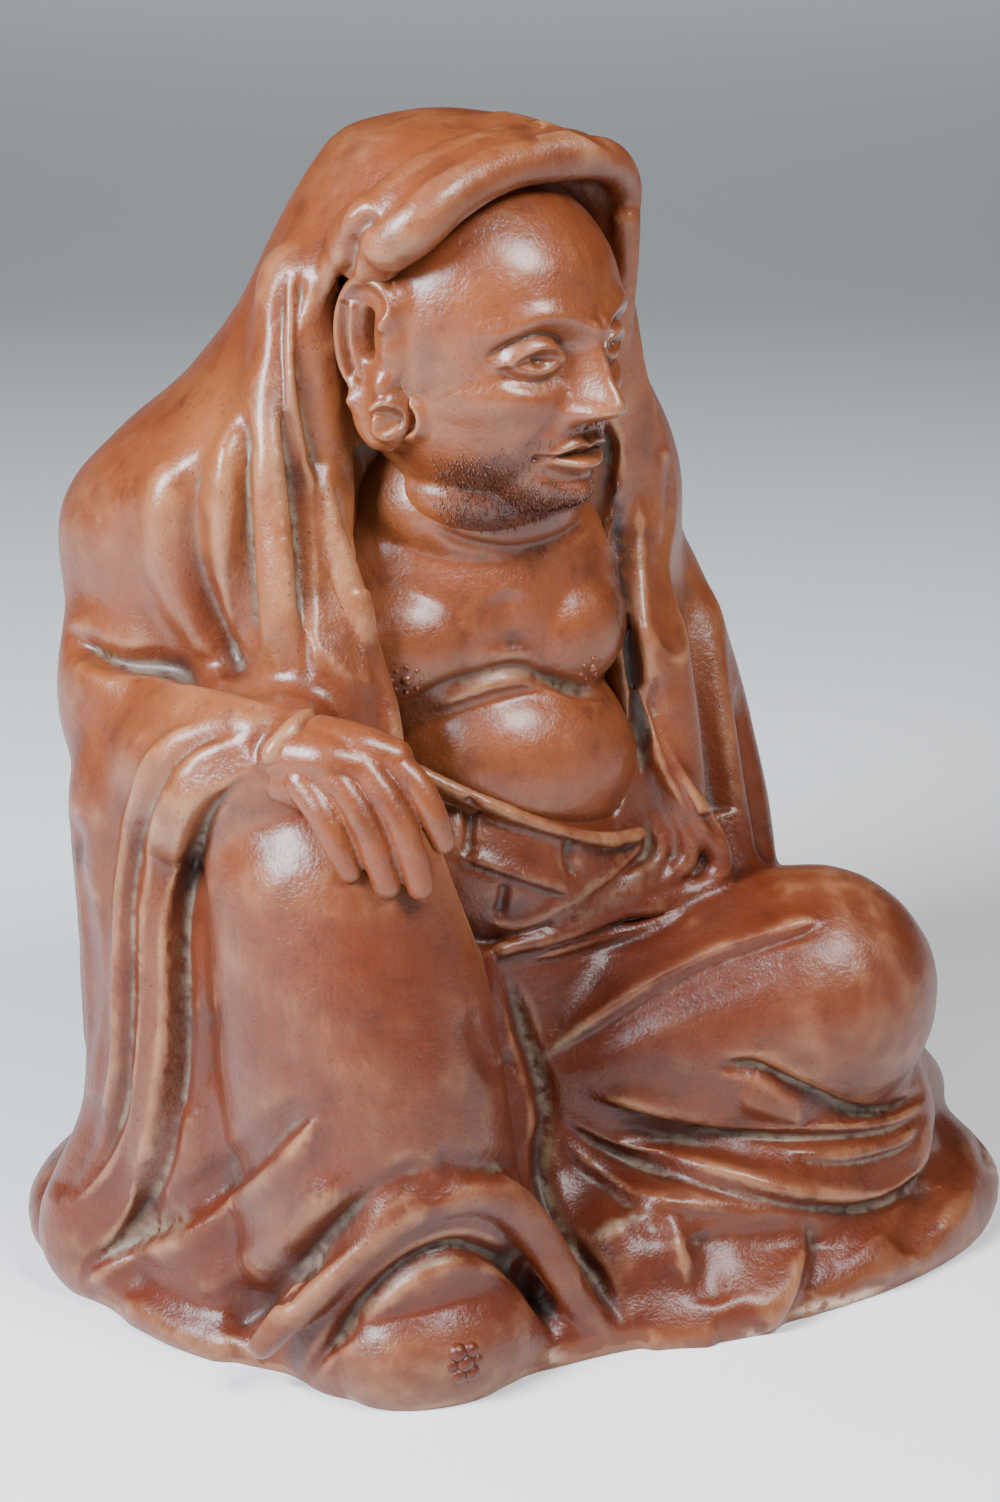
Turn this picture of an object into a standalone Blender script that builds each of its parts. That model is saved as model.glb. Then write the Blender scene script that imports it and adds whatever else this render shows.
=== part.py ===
# Seated bodhidharma in a hooded robe, an unglazed stoneware ornament made as one solid piece.
# Metres, +Z up. The chest faces -Y, the figure's right hand is at -X, and the base is at z = 0.
# The figure is built as a sculptor blocks in clay: rounded masses are merged and melted together,
# the robe's opening is cut, the body is set inside it, and strokes along the surface raise the folds.

import math

import bmesh
import bpy
import numpy as np
from mathutils import Matrix, Vector
from mathutils.bvhtree import BVHTree

# Driving dimensions
HEIGHT = 0.172  # ground to the top of the hood
STEPS_IN_HEIGHT = 172  # the carving is laid out on a grid of this many steps to the height
FACE_BUDGET = 9400  # triangles in the finished solid
BLOCK_GRAIN = 1.6  # grain of the merged clay, in steps
FINE_GRAIN = 0.9  # grain when the body and hand are set in, in steps
DEEPEST = 2.8  # the most that crossing strokes move the surface, in steps

CLAY = (0.235, 0.075, 0.032, 1.0)
CLAY_ROUGHNESS = 0.38

# The head: its middle, and how far it is turned to its left
HEAD = (-3.5, 0.5, 143)
HEAD_TURN = 25

# Folds are laid out on a sheet, as they look from a point in front and to the right of the figure
SHEET_AZIMUTH = -25  # degrees, towards the figure's right
SHEET_RISE = 18  # degrees above level
SHEET_DISTANCE = 470  # steps from the eye to the middle of the figure
SHEET_MIDDLE = (500, 751)  # the sheet's middle, in sheet units from its upper left corner
SHEET_REACH = 3190  # distance of the sheet from the eye, in sheet units
SHEET_AIM = (0, 0, 80)  # the point of the carving grid that lies behind the sheet's middle

STEP = HEIGHT / STEPS_IN_HEIGHT  # one step of the carving grid, 1 mm at this height


def at(*point):
    """A point of the carving grid as a vector in metres."""
    return Vector(point) * STEP


def by_head(left, forward, up):
    """A point given from the head's middle, along the head's own directions, on the carving grid."""
    c, s = math.cos(math.radians(HEAD_TURN)), math.sin(math.radians(HEAD_TURN))
    return (HEAD[0] + left * c + forward * s, HEAD[1] + left * s - forward * c, HEAD[2] + up)


def spline(points, count):
    """Points evenly spread over a Catmull-Rom curve through the given points."""
    p = np.array(points, float)
    p = np.vstack([2 * p[0] - p[1], p, 2 * p[-1] - p[-2]])
    spans = len(p) - 3
    made = []
    for t in np.linspace(0, spans, count):
        i = min(int(t), spans - 1)
        s = t - i
        a, b, c, d = p[i : i + 4]
        made.append(
            0.5 * (2 * b + (c - a) * s + (2 * a - 5 * b + 4 * c - d) * s * s + (3 * b - a - 3 * c + d) * s**3)
        )
    return np.array(made)


def bridge(bm, rings):
    """Quads between rings of equal length, with a face at each end."""
    for low, high in zip(rings, rings[1:]):
        n = len(low)
        for i in range(n):
            bm.faces.new((low[i], low[(i + 1) % n], high[(i + 1) % n], high[i]))
    bm.faces.new(list(reversed(rings[0])))
    bm.faces.new(rings[-1])


def add_egg(bm, centre, radii, turn=(0, 0, 0)):
    """An ellipsoid on the carving grid, turned by degrees about X, Y, Z."""
    spin = Matrix.Rotation(math.radians(turn[2]), 4, "Z")
    spin = spin @ Matrix.Rotation(math.radians(turn[1]), 4, "Y") @ Matrix.Rotation(math.radians(turn[0]), 4, "X")
    size = Matrix.Diagonal((*at(*radii), 1))
    bmesh.ops.create_icosphere(
        bm, subdivisions=4, radius=1, matrix=Matrix.Translation(at(*centre)) @ spin @ size
    )


def add_limb(bm, path, radii, flat=1.0, sides=20):
    """A tapering round-ended tube along a smooth path. flat squeezes it across, towards a strap."""
    count = 8 * len(path)
    centres = spline(path, count) * STEP
    sizes = spline([(r,) for r in radii], count)[:, 0] * STEP
    tangents = np.gradient(centres, axis=0)
    tangents /= np.linalg.norm(tangents, axis=1)[:, None]
    stations = []
    for turn in (80, 60, 40, 20):
        a = math.radians(turn)
        stations.append((centres[0] - tangents[0] * sizes[0] * math.sin(a), tangents[0], sizes[0] * math.cos(a)))
    stations += list(zip(centres, tangents, sizes))
    for turn in (20, 40, 60, 80):
        a = math.radians(turn)
        stations.append((centres[-1] + tangents[-1] * sizes[-1] * math.sin(a), tangents[-1], sizes[-1] * math.cos(a)))
    up = Vector((0, 0, 1))
    if abs(Vector(centres[-1] - centres[0]).normalized().z) > 0.85:
        up = Vector((0, -1, 0))
    rings = []
    for centre, tangent, size in stations:
        side = up.cross(Vector(tangent)).normalized()
        top = Vector(tangent).cross(side).normalized()
        ring = []
        for k in range(sides):
            a = 2 * math.pi * k / sides
            offset = side * math.cos(a) * size + top * math.sin(a) * size * flat
            ring.append(bm.verts.new(Vector(centre) + offset))
        rings.append(ring)
    bridge(bm, rings)


def add_trunk(bm, sections, sides=64):
    """A stack of level ovals: each section is height, centre x, centre y, half width, half depth, turn."""
    rows = spline(sections, 6 * len(sections))
    rings = []
    for z, cx, cy, rx, ry, turn in rows:
        c, s = math.cos(math.radians(turn)), math.sin(math.radians(turn))
        ring = []
        for k in range(sides):
            a = 2 * math.pi * k / sides
            x, y = rx * math.cos(a), ry * math.sin(a)
            ring.append(bm.verts.new(at(cx + x * c - y * s, cy + x * s + y * c, z)))
        rings.append(ring)
    bridge(bm, rings)


def add_skirt(bm, outline, heights, centre):
    """The cloth that lies on the ground: an outline of points, rising inwards to a mound."""
    edge = spline(list(outline) + [outline[0]], 120)[:-1]
    middle = np.array(centre, float)
    rings = []
    for share, z in heights:
        rings.append([bm.verts.new(at(*(middle + (p - middle) * share), z)) for p in edge])
    bridge(bm, rings)


def new_object(name, bm):
    bmesh.ops.recalc_face_normals(bm, faces=bm.faces)
    mesh = bpy.data.meshes.new(name)
    bm.to_mesh(mesh)
    bm.free()
    obj = bpy.data.objects.new(name, mesh)
    bpy.context.scene.collection.objects.link(obj)
    return obj


def applied(obj):
    """Replaces the object's mesh by its mesh with all modifiers, and clears them."""
    graph = bpy.context.evaluated_depsgraph_get()
    mesh = bpy.data.meshes.new_from_object(obj.evaluated_get(graph))
    obj.modifiers.clear()
    old = obj.data
    obj.data = mesh
    bpy.data.meshes.remove(old)
    return obj


def soften(obj, rounds):
    """Evens the skin out, as a damp thumb does."""
    smooth = obj.modifiers.new("soften", "SMOOTH")
    smooth.factor = 0.5
    smooth.iterations = rounds
    return applied(obj)


def melt(obj, grain, rounds):
    """Merges overlapping masses into one skin and softens the joins."""
    remesh = obj.modifiers.new("merge", "REMESH")
    remesh.mode = "VOXEL"
    remesh.voxel_size = grain * STEP
    return soften(obj, rounds)


# Robe: level sections of trunk and hood, as height, centre x, centre y, half width, half depth, turn
TRUNK = [
    (-4, 0, 20, 56, 48, 0),
    (12, -1, 22, 53, 46, 0),
    (40, -4, 25, 50, 41, 0),
    (70, -5, 27, 48, 39, 0),
    (90, -6, 28, 47, 38, 0),
    (104, -7.5, 28, 46.5, 38, 0),
    (116, -9.5, 26, 44.5, 37.5, 4),
    (126, -9.5, 22, 40, 37, 12),
    (136, -8.5, 15, 32.5, 35, 20),
    (147, -7.5, 9, 27, 32.5, 25),
    (157, -6.5, 7, 24, 29.5, 25),
    (165, -6, 5.5, 19.5, 25, 25),
    (170, -6.5, 7, 13, 18, 25),
    (172.5, -7, 8, 4, 5, 25),
]

# Hem on the ground, counter-clockwise from the front, and its rise towards the middle
HEM = [
    (-12, -41),
    (4, -41),
    (18, -45),
    (32, -43),
    (50, -40),
    (68, -32),
    (81, -16),
    (83, 4),
    (76, 28),
    (60, 52),
    (34, 68),
    (0, 72),
    (-34, 67),
    (-56, 52),
    (-66, 32),
    (-64, 9),
    (-58, -10),
    (-46, -26),
    (-30, -38),
]
HEM_RISE = [(0.93, -4), (0.98, -1), (1.0, 2), (0.985, 5), (0.93, 8), (0.82, 12), (0.66, 20), (0.45, 28)]
HEM_MIDDLE = (4, 14)

# Limbs under the cloth: path on the carving grid, and its half thickness at each point
ROBE_LIMBS = {
    "right upper arm": ([(-24, 30, 118), (-36, 28, 104), (-43, 21, 88), (-44, 8, 82)], [15, 17, 17, 14]),
    "right forearm": ([(-45, 10, 82), (-45, -6, 86), (-41, -17, 90)], [14, 12, 9]),
    "hanging sleeve": ([(-47, 12, 76), (-51, 8, 50), (-54, 9, 28), (-57, 14, 8)], [15, 13, 12, 13]),
    "left arm": ([(19, 27, 110), (31, 22, 88), (36, 13, 62), (34, 2, 44)], [17, 16, 15, 14]),
    "right thigh": ([(-16, 18, 26), (-24, -2, 50), (-33, -16, 70)], [22, 20, 18]),
    "right shin": ([(-33, -16, 70), (-31, -20, 44), (-28, -22, 16)], [18, 20, 20]),
    "left thigh": ([(0, 2, 30), (24, -8, 35), (44, -16, 40)], [17, 20, 20]),
    "left shin": ([(52, -12, 16), (30, -24, 12), (6, -28, 8)], [16, 13, 10]),
    "right foot": ([(-34, -28, 6), (-21, -34, 6)], [12, 10.5]),
    "cloth between sleeve and leg": ([(-42, 2, 62), (-44, 0, 38), (-45, -4, 12)], [12, 12, 12]),
    "hood's right fall": ([(-27, 4, 150), (-29, -1, 128), (-30, -4, 106), (-29, -8, 84)], [8, 9, 10, 9]),
    "hood's left fall": ([(20, 4, 140), (21.5, 1, 120), (22, 0, 100), (25, -1, 80), (26, -6, 62)], [4, 5, 6, 6, 6]),
}

# The opening of the robe below the chin, seen from the front: x, z
OPENING = [(-24, 128), (-24.5, 104), (-23, 84), (-17, 64), (-9, 55), (3, 60), (15, 70), (18, 82), (16, 104), (17, 128)]
OPENING_DEPTH = 4

# The opening of the hood, level by level, from the head's middle: height, how far forward the cloth is
# cut on the right side, in the middle and on the left side
HOOD_CUT = [
    (-34, -1, -8, 9),
    (-16, 0, -8, 10),
    (2, 1, -8, 11),
    (11, 1, -6, 11),
    (16, 6, 0, 12),
    (20, 10, 7, 13),
    (24, 13, 12, 14),
    (32, 17, 17, 17),
]


def block_robe():
    """The cloth's outer masses, melted into one."""
    bm = bmesh.new()
    add_trunk(bm, TRUNK)
    add_skirt(bm, HEM, HEM_RISE, HEM_MIDDLE)
    for path, radii in ROBE_LIMBS.values():
        add_limb(bm, path, radii)
    return melt(new_object("robe", bm), BLOCK_GRAIN, 14)


def cutter_below():
    """A prism through the robe's front, open towards -Y."""
    bm = bmesh.new()
    rings = []
    for y in (-80, OPENING_DEPTH):
        rings.append([bm.verts.new(at(x, y, z)) for x, z in spline(OPENING + OPENING[:1], 60)[:-1]])
    bridge(bm, rings)
    return new_object("opening below", bm)


def cutter_hood():
    """A wedge through the hood's front, open towards the face's direction."""
    bm = bmesh.new()
    rings = []
    for up, right, middle, left in spline(HOOD_CUT, 30):
        plan = [(-60, right), (-24, right), (-16, middle), (12, middle), (18, left), (60, left), (60, 70), (-60, 70)]
        rings.append([bm.verts.new(at(*by_head(across, forward, up))) for across, forward in plan])
    bridge(bm, rings)
    return new_object("opening above", bm)


def cut(obj, cutter):
    """Takes the cutter's form out of the object."""
    take = obj.modifiers.new("cut", "BOOLEAN")
    take.operation = "DIFFERENCE"
    take.solver = "EXACT"
    take.object = cutter
    applied(obj)
    bpy.data.objects.remove(cutter)


# Body set into the opening: middle, half sizes, turn about X, Y, Z
BODY = {
    "neck": ((-3, 6, 119), (18, 18, 14), (0, 0, 10)),
    "chest": ((-3, 12, 100), (27, 22, 26), (0, 0, 0)),
    "right breast": ((-14, 4, 101), (13, 14, 11), (0, 0, 0)),
    "left breast": ((8, 4, 99), (12, 14, 10.5), (0, 0, 0)),
    "belly": ((-1, 4, 81), (18.5, 18.5, 13.5), (0, 0, 0)),
    "waist cloth": ((-2, 6, 65), (25, 21, 18), (0, 0, 0)),
}

# Head, from its own middle: left, forward, up; half sizes; nod in degrees
HEAD_PARTS = {
    "skull": ((0, -1.5, 2), (20.5, 23, 22.5), 0),
    "jaw": ((0, 2, -8), (18.5, 18.5, 17), 0),
    "throat": ((0, 3, -22), (14.5, 14, 8), 0),
    "right cheek": ((-9.5, 12.3, -7), (7, 6.5, 7), 0),
    "left cheek": ((9.5, 12.3, -7), (7, 6.5, 7), 0),
    "brow": ((0, 17.4, 5), (13, 3.6, 2.6), 0),
    "nose bridge": ((0, 20.4, -2.2), (2.1, 3.4, 6.8), -16),
    "nose tip": ((0, 23.2, -7.4), (2.7, 2.8, 2.5), 0),
    "right nostril": ((-2.9, 20.8, -8.2), (1.9, 2.6, 1.9), 0),
    "left nostril": ((2.9, 20.8, -8.2), (1.9, 2.6, 1.9), 0),
    "mouth": ((0, 16.8, -14.2), (7.5, 4.2, 5), 0),
    "upper lip": ((0, 20.2, -13.1), (5.6, 1.8, 1.2), 0),
    "lower lip": ((0, 19.8, -15.8), (4.8, 1.9, 1.4), 0),
    "chin": ((0, 16.4, -21.5), (5.8, 4.2, 4), 0),
    "right eye": ((-8, 15.2, 0.6), (3.8, 2.8, 2.6), 0),
    "left eye": ((8, 15.2, 0.6), (3.8, 2.8, 2.6), 0),
    "right ear": ((-21.2, -1, -1), (2.4, 5.5, 8.5), 0),
    "right ear lobe": ((-20.8, 0.5, -11), (2.2, 3.2, 5), 0),
    "left ear": ((20.5, -2, -1), (2.4, 5, 8), 0),
    "left ear lobe": ((20, 0, -11), (2.4, 3, 5), 0),
}

# Strokes on the face, from the head's middle: left, up
FACE = {
    "right socket above": ([(-4, 2.6), (-8, 3.9), (-12.5, 2)], 1.5, -1.9, 0),
    "left socket above": ([(4, 2.6), (8, 3.9), (12.5, 2)], 1.5, -1.9, 0),
    "right socket below": ([(-4, -1), (-8, -3), (-12.5, -1)], 1.7, -1.7, 0),
    "left socket below": ([(4, -1), (8, -3), (12.5, -1)], 1.7, -1.7, 0),
    "mouth line": ([(-6.5, -14.7), (0, -14.3), (6.5, -14.7)], 1.0, -1.2, 0),
    "under the lip": ([(-4, -18.2), (0, -18.6), (4, -18.2)], 1.6, -1.0, 0),
}

# Ring in the right ear lobe, from the head's middle: left, forward, up; radius, half thickness
EAR_RING = ((-20.2, 4.6, -8.5), 3.4, 1.15)

# Rolled edges of cloth and the sash: path, half thickness along it
ROLLS = {
    "hood's edge over the head": (
        [
            by_head(19, 11, 15),
            by_head(14, 14, 21),
            by_head(6, 14.5, 23),
            by_head(-2, 13.5, 22.5),
            by_head(-9, 11.5, 21),
            by_head(-16, 8.5, 17),
            by_head(-21, 4.5, 12.5),
            by_head(-24, 0, 12),
        ],
        [2.0, 2.8, 2.9, 3.0, 3.1, 3.3, 3.4, 2.6],
    ),
    "hood's edge on the left": (
        [by_head(18.5, 12, 15), by_head(20, 11, 4), by_head(20.5, 9, -10), (20, -4, 118), (18, -7, 100)],
        [2.2, 1.8, 1.8, 2.0, 2.4],
    ),
    "hood's edge on the right": (
        [by_head(-24.5, 0, 11), by_head(-26, -1, 0), by_head(-25.5, 0, -14), (-25, -8, 112), (-23, -13, 94), (-22, -17, 80)],
        [2.4, 1.6, 1.6, 2.0, 2.2, 2.2],
    ),
    "sash": ([(-20, -9, 83), (-12, -13, 78), (0, -15, 70.5), (10, -14, 67), (18, -9, 66)], [2.4, 2.8, 3.0, 2.8, 2.4]),
}

# Right hand on the knee
HAND = {
    "wrist": ([(-42, -16, 90), (-38, -22, 92)], [6.5, 6.0]),
    "back": ([(-38, -23, 91), (-31, -26, 90)], [5.0, 5.0]),
    "first finger": ([(-27.5, -28, 90.5), (-24.8, -32, 84), (-24, -33.5, 75)], [2.1, 1.9, 1.7]),
    "second finger": ([(-31.8, -29, 90.5), (-29.6, -33, 84), (-28.4, -35, 74.5)], [2.2, 2.0, 1.7]),
    "third finger": ([(-36, -29, 90), (-34.2, -33, 84), (-32.8, -35, 75.5)], [2.2, 2.0, 1.7]),
    "fourth finger": ([(-40, -27.5, 89.5), (-38.8, -31.5, 84), (-37, -33.5, 77.5)], [2.0, 1.8, 1.6]),
    "thumb": ([(-27, -23, 89), (-21.5, -27, 86), (-20, -30, 79)], [2.8, 2.3, 1.9]),
}

# Folds of the cloth on the sheet: path, half width in steps, rise in steps, and which side is crisp:
# 1 for the side to the right of the way the path runs, -1 for the left, 0 for a round fold
FOLDS = {
    "fall groove": ([(270, 420), (262, 520), (262, 600), (266, 690)], 2.2, -3.1, 0),
    "fall ridge outer": ([(312, 250), (288, 340), (290, 430), (312, 520), (316, 620), (312, 700)], 2.2, 2.3, -1),
    "fall groove inner": ([(328, 300), (322, 380), (334, 470), (342, 560), (344, 690)], 1.8, -2, 0),
    "fall ridge inner": ([(345, 420), (356, 500), (364, 600), (364, 700)], 2.0, 1.6, 0),
    "shoulder fold": ([(275, 350), (245, 440), (236, 540), (250, 640), (268, 690)], 2.6, 2.5, 1),
    "upper arm fold": ([(165, 470), (160, 540), (190, 610), (240, 680)], 3.0, 2.6, -1),
    "upper arm crease": ([(205, 480), (205, 560), (225, 620), (250, 680)], 2.4, -2.6, 0),
    "elbow crease": ([(66, 625), (105, 652), (160, 662), (230, 680)], 2.4, -3.4, 0),
    "elbow roll": ([(72, 668), (130, 690), (200, 700), (280, 712)], 3.2, 1.8, 0),
    "sleeve ridge 1": ([(98, 1120), (108, 960), (118, 830), (165, 750), (250, 715)], 2.6, 2.2, 1),
    "sleeve ridge 2": ([(135, 1150), (142, 980), (152, 850), (196, 770), (270, 728)], 2.4, 2.5, 1),
    "sleeve edge": ([(90, 1290), (158, 1150), (172, 1000), (186, 880), (220, 800), (270, 752)], 2.4, 3.4, 1),
    "sleeve groove": ([(84, 890), (92, 1000), (100, 1110), (70, 1210)], 2.4, -2.1, 0),
    "leg crease outer": ([(196, 880), (186, 960), (182, 1060), (165, 1180)], 2.2, -3.1, 0),
    "leg fold low": ([(330, 1105), (285, 1170), (215, 1225), (130, 1262)], 3.0, -2.9, 0),
    "leg fold lower": ([(395, 1130), (330, 1200), (250, 1265), (190, 1300)], 3.0, 2.3, 1),
    "arch": ([(225, 1330), (320, 1245), (415, 1192), (500, 1205), (575, 1280), (640, 1345)], 3.4, 3.4, 1),
    "arch groove": ([(330, 1345), (375, 1275), (445, 1245), (520, 1270), (556, 1330)], 2.6, -3.4, 0),
    "above arch": ([(425, 1160), (480, 1178), (535, 1165)], 2.2, -2.3, 0),
    "between legs": ([(498, 955), (515, 1000), (545, 1070), (545, 1165), (580, 1250), (640, 1330)], 2.4, -3.6, 0),
    "shin crease": ([(486, 950), (482, 1010), (502, 1062)], 2.0, -2.1, 0),
    "long lap fold": ([(540, 1062), (610, 1008), (710, 962), (822, 924)], 2.4, 2.5, 1),
    "under lap fold": ([(535, 1085), (600, 1040), (700, 990), (800, 950)], 2.8, -1.8, 0),
    "knee pocket": ([(720, 1075), (765, 1082), (810, 1106), (860, 1112)], 2.6, -3.1, 0),
    "knee pocket lip": ([(700, 1088), (740, 1118), (800, 1126), (880, 1118)], 2.2, 2.1, 0),
    "band 1": ([(552, 1092), (640, 1132), (760, 1158), (860, 1156), (930, 1118)], 2.4, 2.5, 1),
    "band 2": ([(552, 1122), (650, 1172), (770, 1200), (880, 1190), (915, 1150)], 2.4, 2.6, 1),
    "band groove": ([(556, 1150), (650, 1200), (760, 1222), (870, 1215)], 2.6, -2.3, 0),
    "hem fold 1": ([(590, 1262), (640, 1215), (680, 1232), (690, 1290)], 2.8, 2.9, 1),
    "hem fold 2": ([(830, 1215), (800, 1250), (770, 1300), (740, 1340)], 3.0, 3.1, -1),
    "hem fold 3": ([(700, 1225), (715, 1290), (700, 1340)], 3.0, -2.6, 0),
    "hem fold 4": ([(930, 1130), (915, 1200), (880, 1260), (850, 1300)], 3.2, 2.6, 1),
    "lapel fold 1": ([(640, 745), (672, 800), (702, 862), (650, 905), (575, 938), (505, 962)], 2.4, 2.9, -1),
    "lapel fold 2": ([(652, 700), (694, 780), (726, 858), (690, 906), (610, 950), (535, 1000)], 2.4, 2.3, -1),
    "lapel fold 3": ([(636, 810), (660, 850), (625, 892), (560, 922)], 1.8, 1.8, -1),
    "left sleeve fold 1": ([(690, 540), (694, 640), (708, 760), (735, 860)], 2.6, -2.3, 0),
    "left sleeve fold 2": ([(664, 470), (668, 600), (690, 740)], 2.4, 2.1, 1),
    "left sleeve fold 3": ([(735, 640), (752, 740), (776, 860)], 2.6, 2.1, 0),
    "sash line": ([(452, 862), (510, 880), (575, 898)], 1.6, 1.2, 0),
    "under breast": ([(398, 712), (450, 690), (512, 672), (570, 688), (622, 698)], 2.0, -2.1, 0),
    "neck crease": ([(430, 512), (490, 545), (560, 545), (600, 515)], 1.8, -2.1, 0),
}

# Folds of the back and sides: path as azimuth from the front towards the figure's left, and height
AROUND = {
    "back fold 1": ([(150, 140), (142, 118), (130, 84), (122, 48), (114, 18)], 5.5, 2.4, 0),
    "back fold 2": ([(182, 138), (178, 112), (171, 76), (167, 40), (160, 14)], 5.0, 2.2, -1),
    "back fold 3": ([(208, 138), (214, 116), (222, 84), (226, 48), (230, 16)], 5.5, 2.4, 0),
    "back fold 4": ([(98, 100), (101, 68), (98, 40), (90, 16)], 4.6, 2.2, 0),
    "back fold 5": ([(244, 104), (247, 74), (250, 44), (252, 16)], 4.6, 2.2, 0),
    "back groove 1": ([(162, 112), (156, 66), (148, 24)], 4.6, -2.2, 0),
    "back groove 2": ([(196, 112), (198, 70), (200, 24)], 4.6, -2.2, 0),
    "back groove 3": ([(116, 96), (114, 60), (106, 24)], 4.6, -2.0, 0),
    "back groove 4": ([(236, 96), (238, 60), (242, 24)], 4.6, -2.0, 0),
    "left side hem": ([(66, 30), (76, 20), (84, 8)], 3.6, 2.0, 0),
}


def set_in_body(robe):
    """Adds head, body, rolled edges and hand to the cut robe, and merges them."""
    bm = bmesh.new()
    bm.from_mesh(robe.data)
    for centre, radii, turn in BODY.values():
        add_egg(bm, centre, radii, turn)
    for centre, radii, nod in HEAD_PARTS.values():
        add_egg(bm, by_head(*centre), radii, (nod, 0, HEAD_TURN))
    for path, radii in (*ROLLS.values(), *HAND.values()):
        add_limb(bm, path, radii, sides=12)
    (left, forward, up), ring, thickness = EAR_RING
    turns = [math.radians(a) for a in range(0, 361, 30)]
    loop = [by_head(left, forward + ring * math.sin(a), up + ring * math.cos(a)) for a in turns]
    add_limb(bm, loop, [thickness] * len(loop), sides=8)
    bpy.data.objects.remove(robe)
    return melt(new_object("figure", bm), FINE_GRAIN, 2)


def cut_flat(obj):
    """Cuts the figure off flat at the ground."""
    bm = bmesh.new()
    bm.from_mesh(obj.data)
    made = bmesh.ops.bisect_plane(
        bm, geom=bm.verts[:] + bm.edges[:] + bm.faces[:], plane_co=(0, 0, 0), plane_no=(0, 0, 1), clear_inner=True
    )
    rim = [g for g in made["geom_cut"] if isinstance(g, bmesh.types.BMEdge)]
    bmesh.ops.holes_fill(bm, edges=rim)
    bm.to_mesh(obj.data)
    bm.free()


def sheet_rays(points):
    """From the eye through points of the sheet: origins and directions in metres."""
    a, e = math.radians(SHEET_AZIMUTH), math.radians(SHEET_RISE)
    back = Vector((math.sin(a) * math.cos(e), -math.cos(a) * math.cos(e), math.sin(e)))
    right = Vector((math.cos(a), math.sin(a), 0))
    up = back.cross(right)
    eye = at(*SHEET_AIM) + back * SHEET_DISTANCE * STEP
    for x, y in points:
        yield eye, right * (x - SHEET_MIDDLE[0]) + up * (SHEET_MIDDLE[1] - y) - back * SHEET_REACH


def face_rays(points):
    """Level rays from in front of the face, at places left and up from the head's middle."""
    for left, up in points:
        front = at(*by_head(left, 60, up))
        yield front, at(*by_head(left, 0, up)) - front


def round_rays(points):
    """Level rays from outside towards the figure's axis, at azimuths and heights."""
    axis = (-4, 14)
    for azimuth, z in points:
        a = math.radians(azimuth)
        out = Vector((math.sin(a), -math.cos(a), 0))
        yield at(*axis, z) + out * HEIGHT, -out


def laid_out(tree, rays):
    """Where the rays meet the surface, as an array of points."""
    found = []
    for origin, direction in rays:
        point = tree.ray_cast(origin, direction)[0]
        if point is not None:
            found.append(point)
    return np.array(found)


def stroke(points, normals, path, width, rise, crisp):
    """How far each point of the surface moves out under one stroke along the path."""
    reach = 3.2 * width * STEP
    low, high = path.min(axis=0) - reach, path.max(axis=0) + reach
    near = np.nonzero(np.all((points > low) & (points < high), axis=1))[0]
    gap = points[near][:, None, :] - path[None, :, :]
    nearest = np.linalg.norm(gap, axis=2).argmin(axis=1)
    tangent = np.gradient(path, axis=0)
    tangent /= np.linalg.norm(tangent, axis=1)[:, None] + 1e-12
    offset = gap[np.arange(len(near)), nearest]
    along = tangent[nearest]
    across = np.cross(along, normals[near])
    side = np.sign((across * offset).sum(axis=1))
    distance = np.linalg.norm(offset, axis=1) / (width * STEP)
    sharp = np.where(side == crisp, 1.7, 0.75) if crisp else 1.0
    share = nearest / (len(path) - 1)
    taper = np.clip(np.minimum(share, 1 - share) / 0.16, 0, 1)
    taper = taper * taper * (3 - 2 * taper)
    moved = np.zeros(len(points))
    moved[near] = rise * STEP * taper * np.exp(-((distance * sharp) ** 2))
    return moved


def carve(obj):
    """Raises and sinks the folds."""
    mesh = obj.data
    n = len(mesh.vertices)
    points = np.empty(n * 3)
    mesh.vertices.foreach_get("co", points)
    points = points.reshape(n, 3)
    normals = np.array([v.normal[:] for v in mesh.vertices])
    bm = bmesh.new()
    bm.from_mesh(mesh)
    tree = BVHTree.FromBMesh(bm)
    bm.free()
    moved = np.zeros(n)
    for folds, rays in ((FOLDS, sheet_rays), (AROUND, round_rays), (FACE, face_rays)):
        for path, width, rise, crisp in folds.values():
            line = laid_out(tree, rays(spline(path, 14 * len(path))))
            moved += stroke(points, normals, line, width, rise, crisp)
    moved = np.clip(moved, -DEEPEST * STEP, DEEPEST * STEP)
    points += normals * moved[:, None]
    mesh.vertices.foreach_set("co", points.ravel())
    mesh.update()
    soften(obj, 4)


def reduce(obj):
    """Brings the solid down to its triangle budget, the plain cloth further than the face and hand."""
    plain = obj.vertex_groups.new(name="plain")
    face, knuckles = at(*by_head(0, 14, -4)), at(-31, -30, 84)
    for v in obj.data.vertices:
        far = min((v.co - face).length / STEP - 16, (v.co - knuckles).length / STEP - 10)
        plain.add([v.index], min(max(far / 10, 0), 1) * 0.7 + 0.3, "REPLACE")
    obj.data.calc_loop_triangles()
    thin = obj.modifiers.new("thin", "DECIMATE")
    thin.ratio = FACE_BUDGET / len(obj.data.loop_triangles)
    thin.vertex_group = "plain"
    thin.vertex_group_factor = 0.008
    applied(obj)
    obj.vertex_groups.clear()


def centre(obj):
    """Puts the middle of the figure's width and depth over the origin."""
    corners = np.array([v.co[:] for v in obj.data.vertices])
    middle = (corners.min(axis=0) + corners.max(axis=0)) / 2
    obj.data.transform(Matrix.Translation((-middle[0], -middle[1], 0)))


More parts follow.
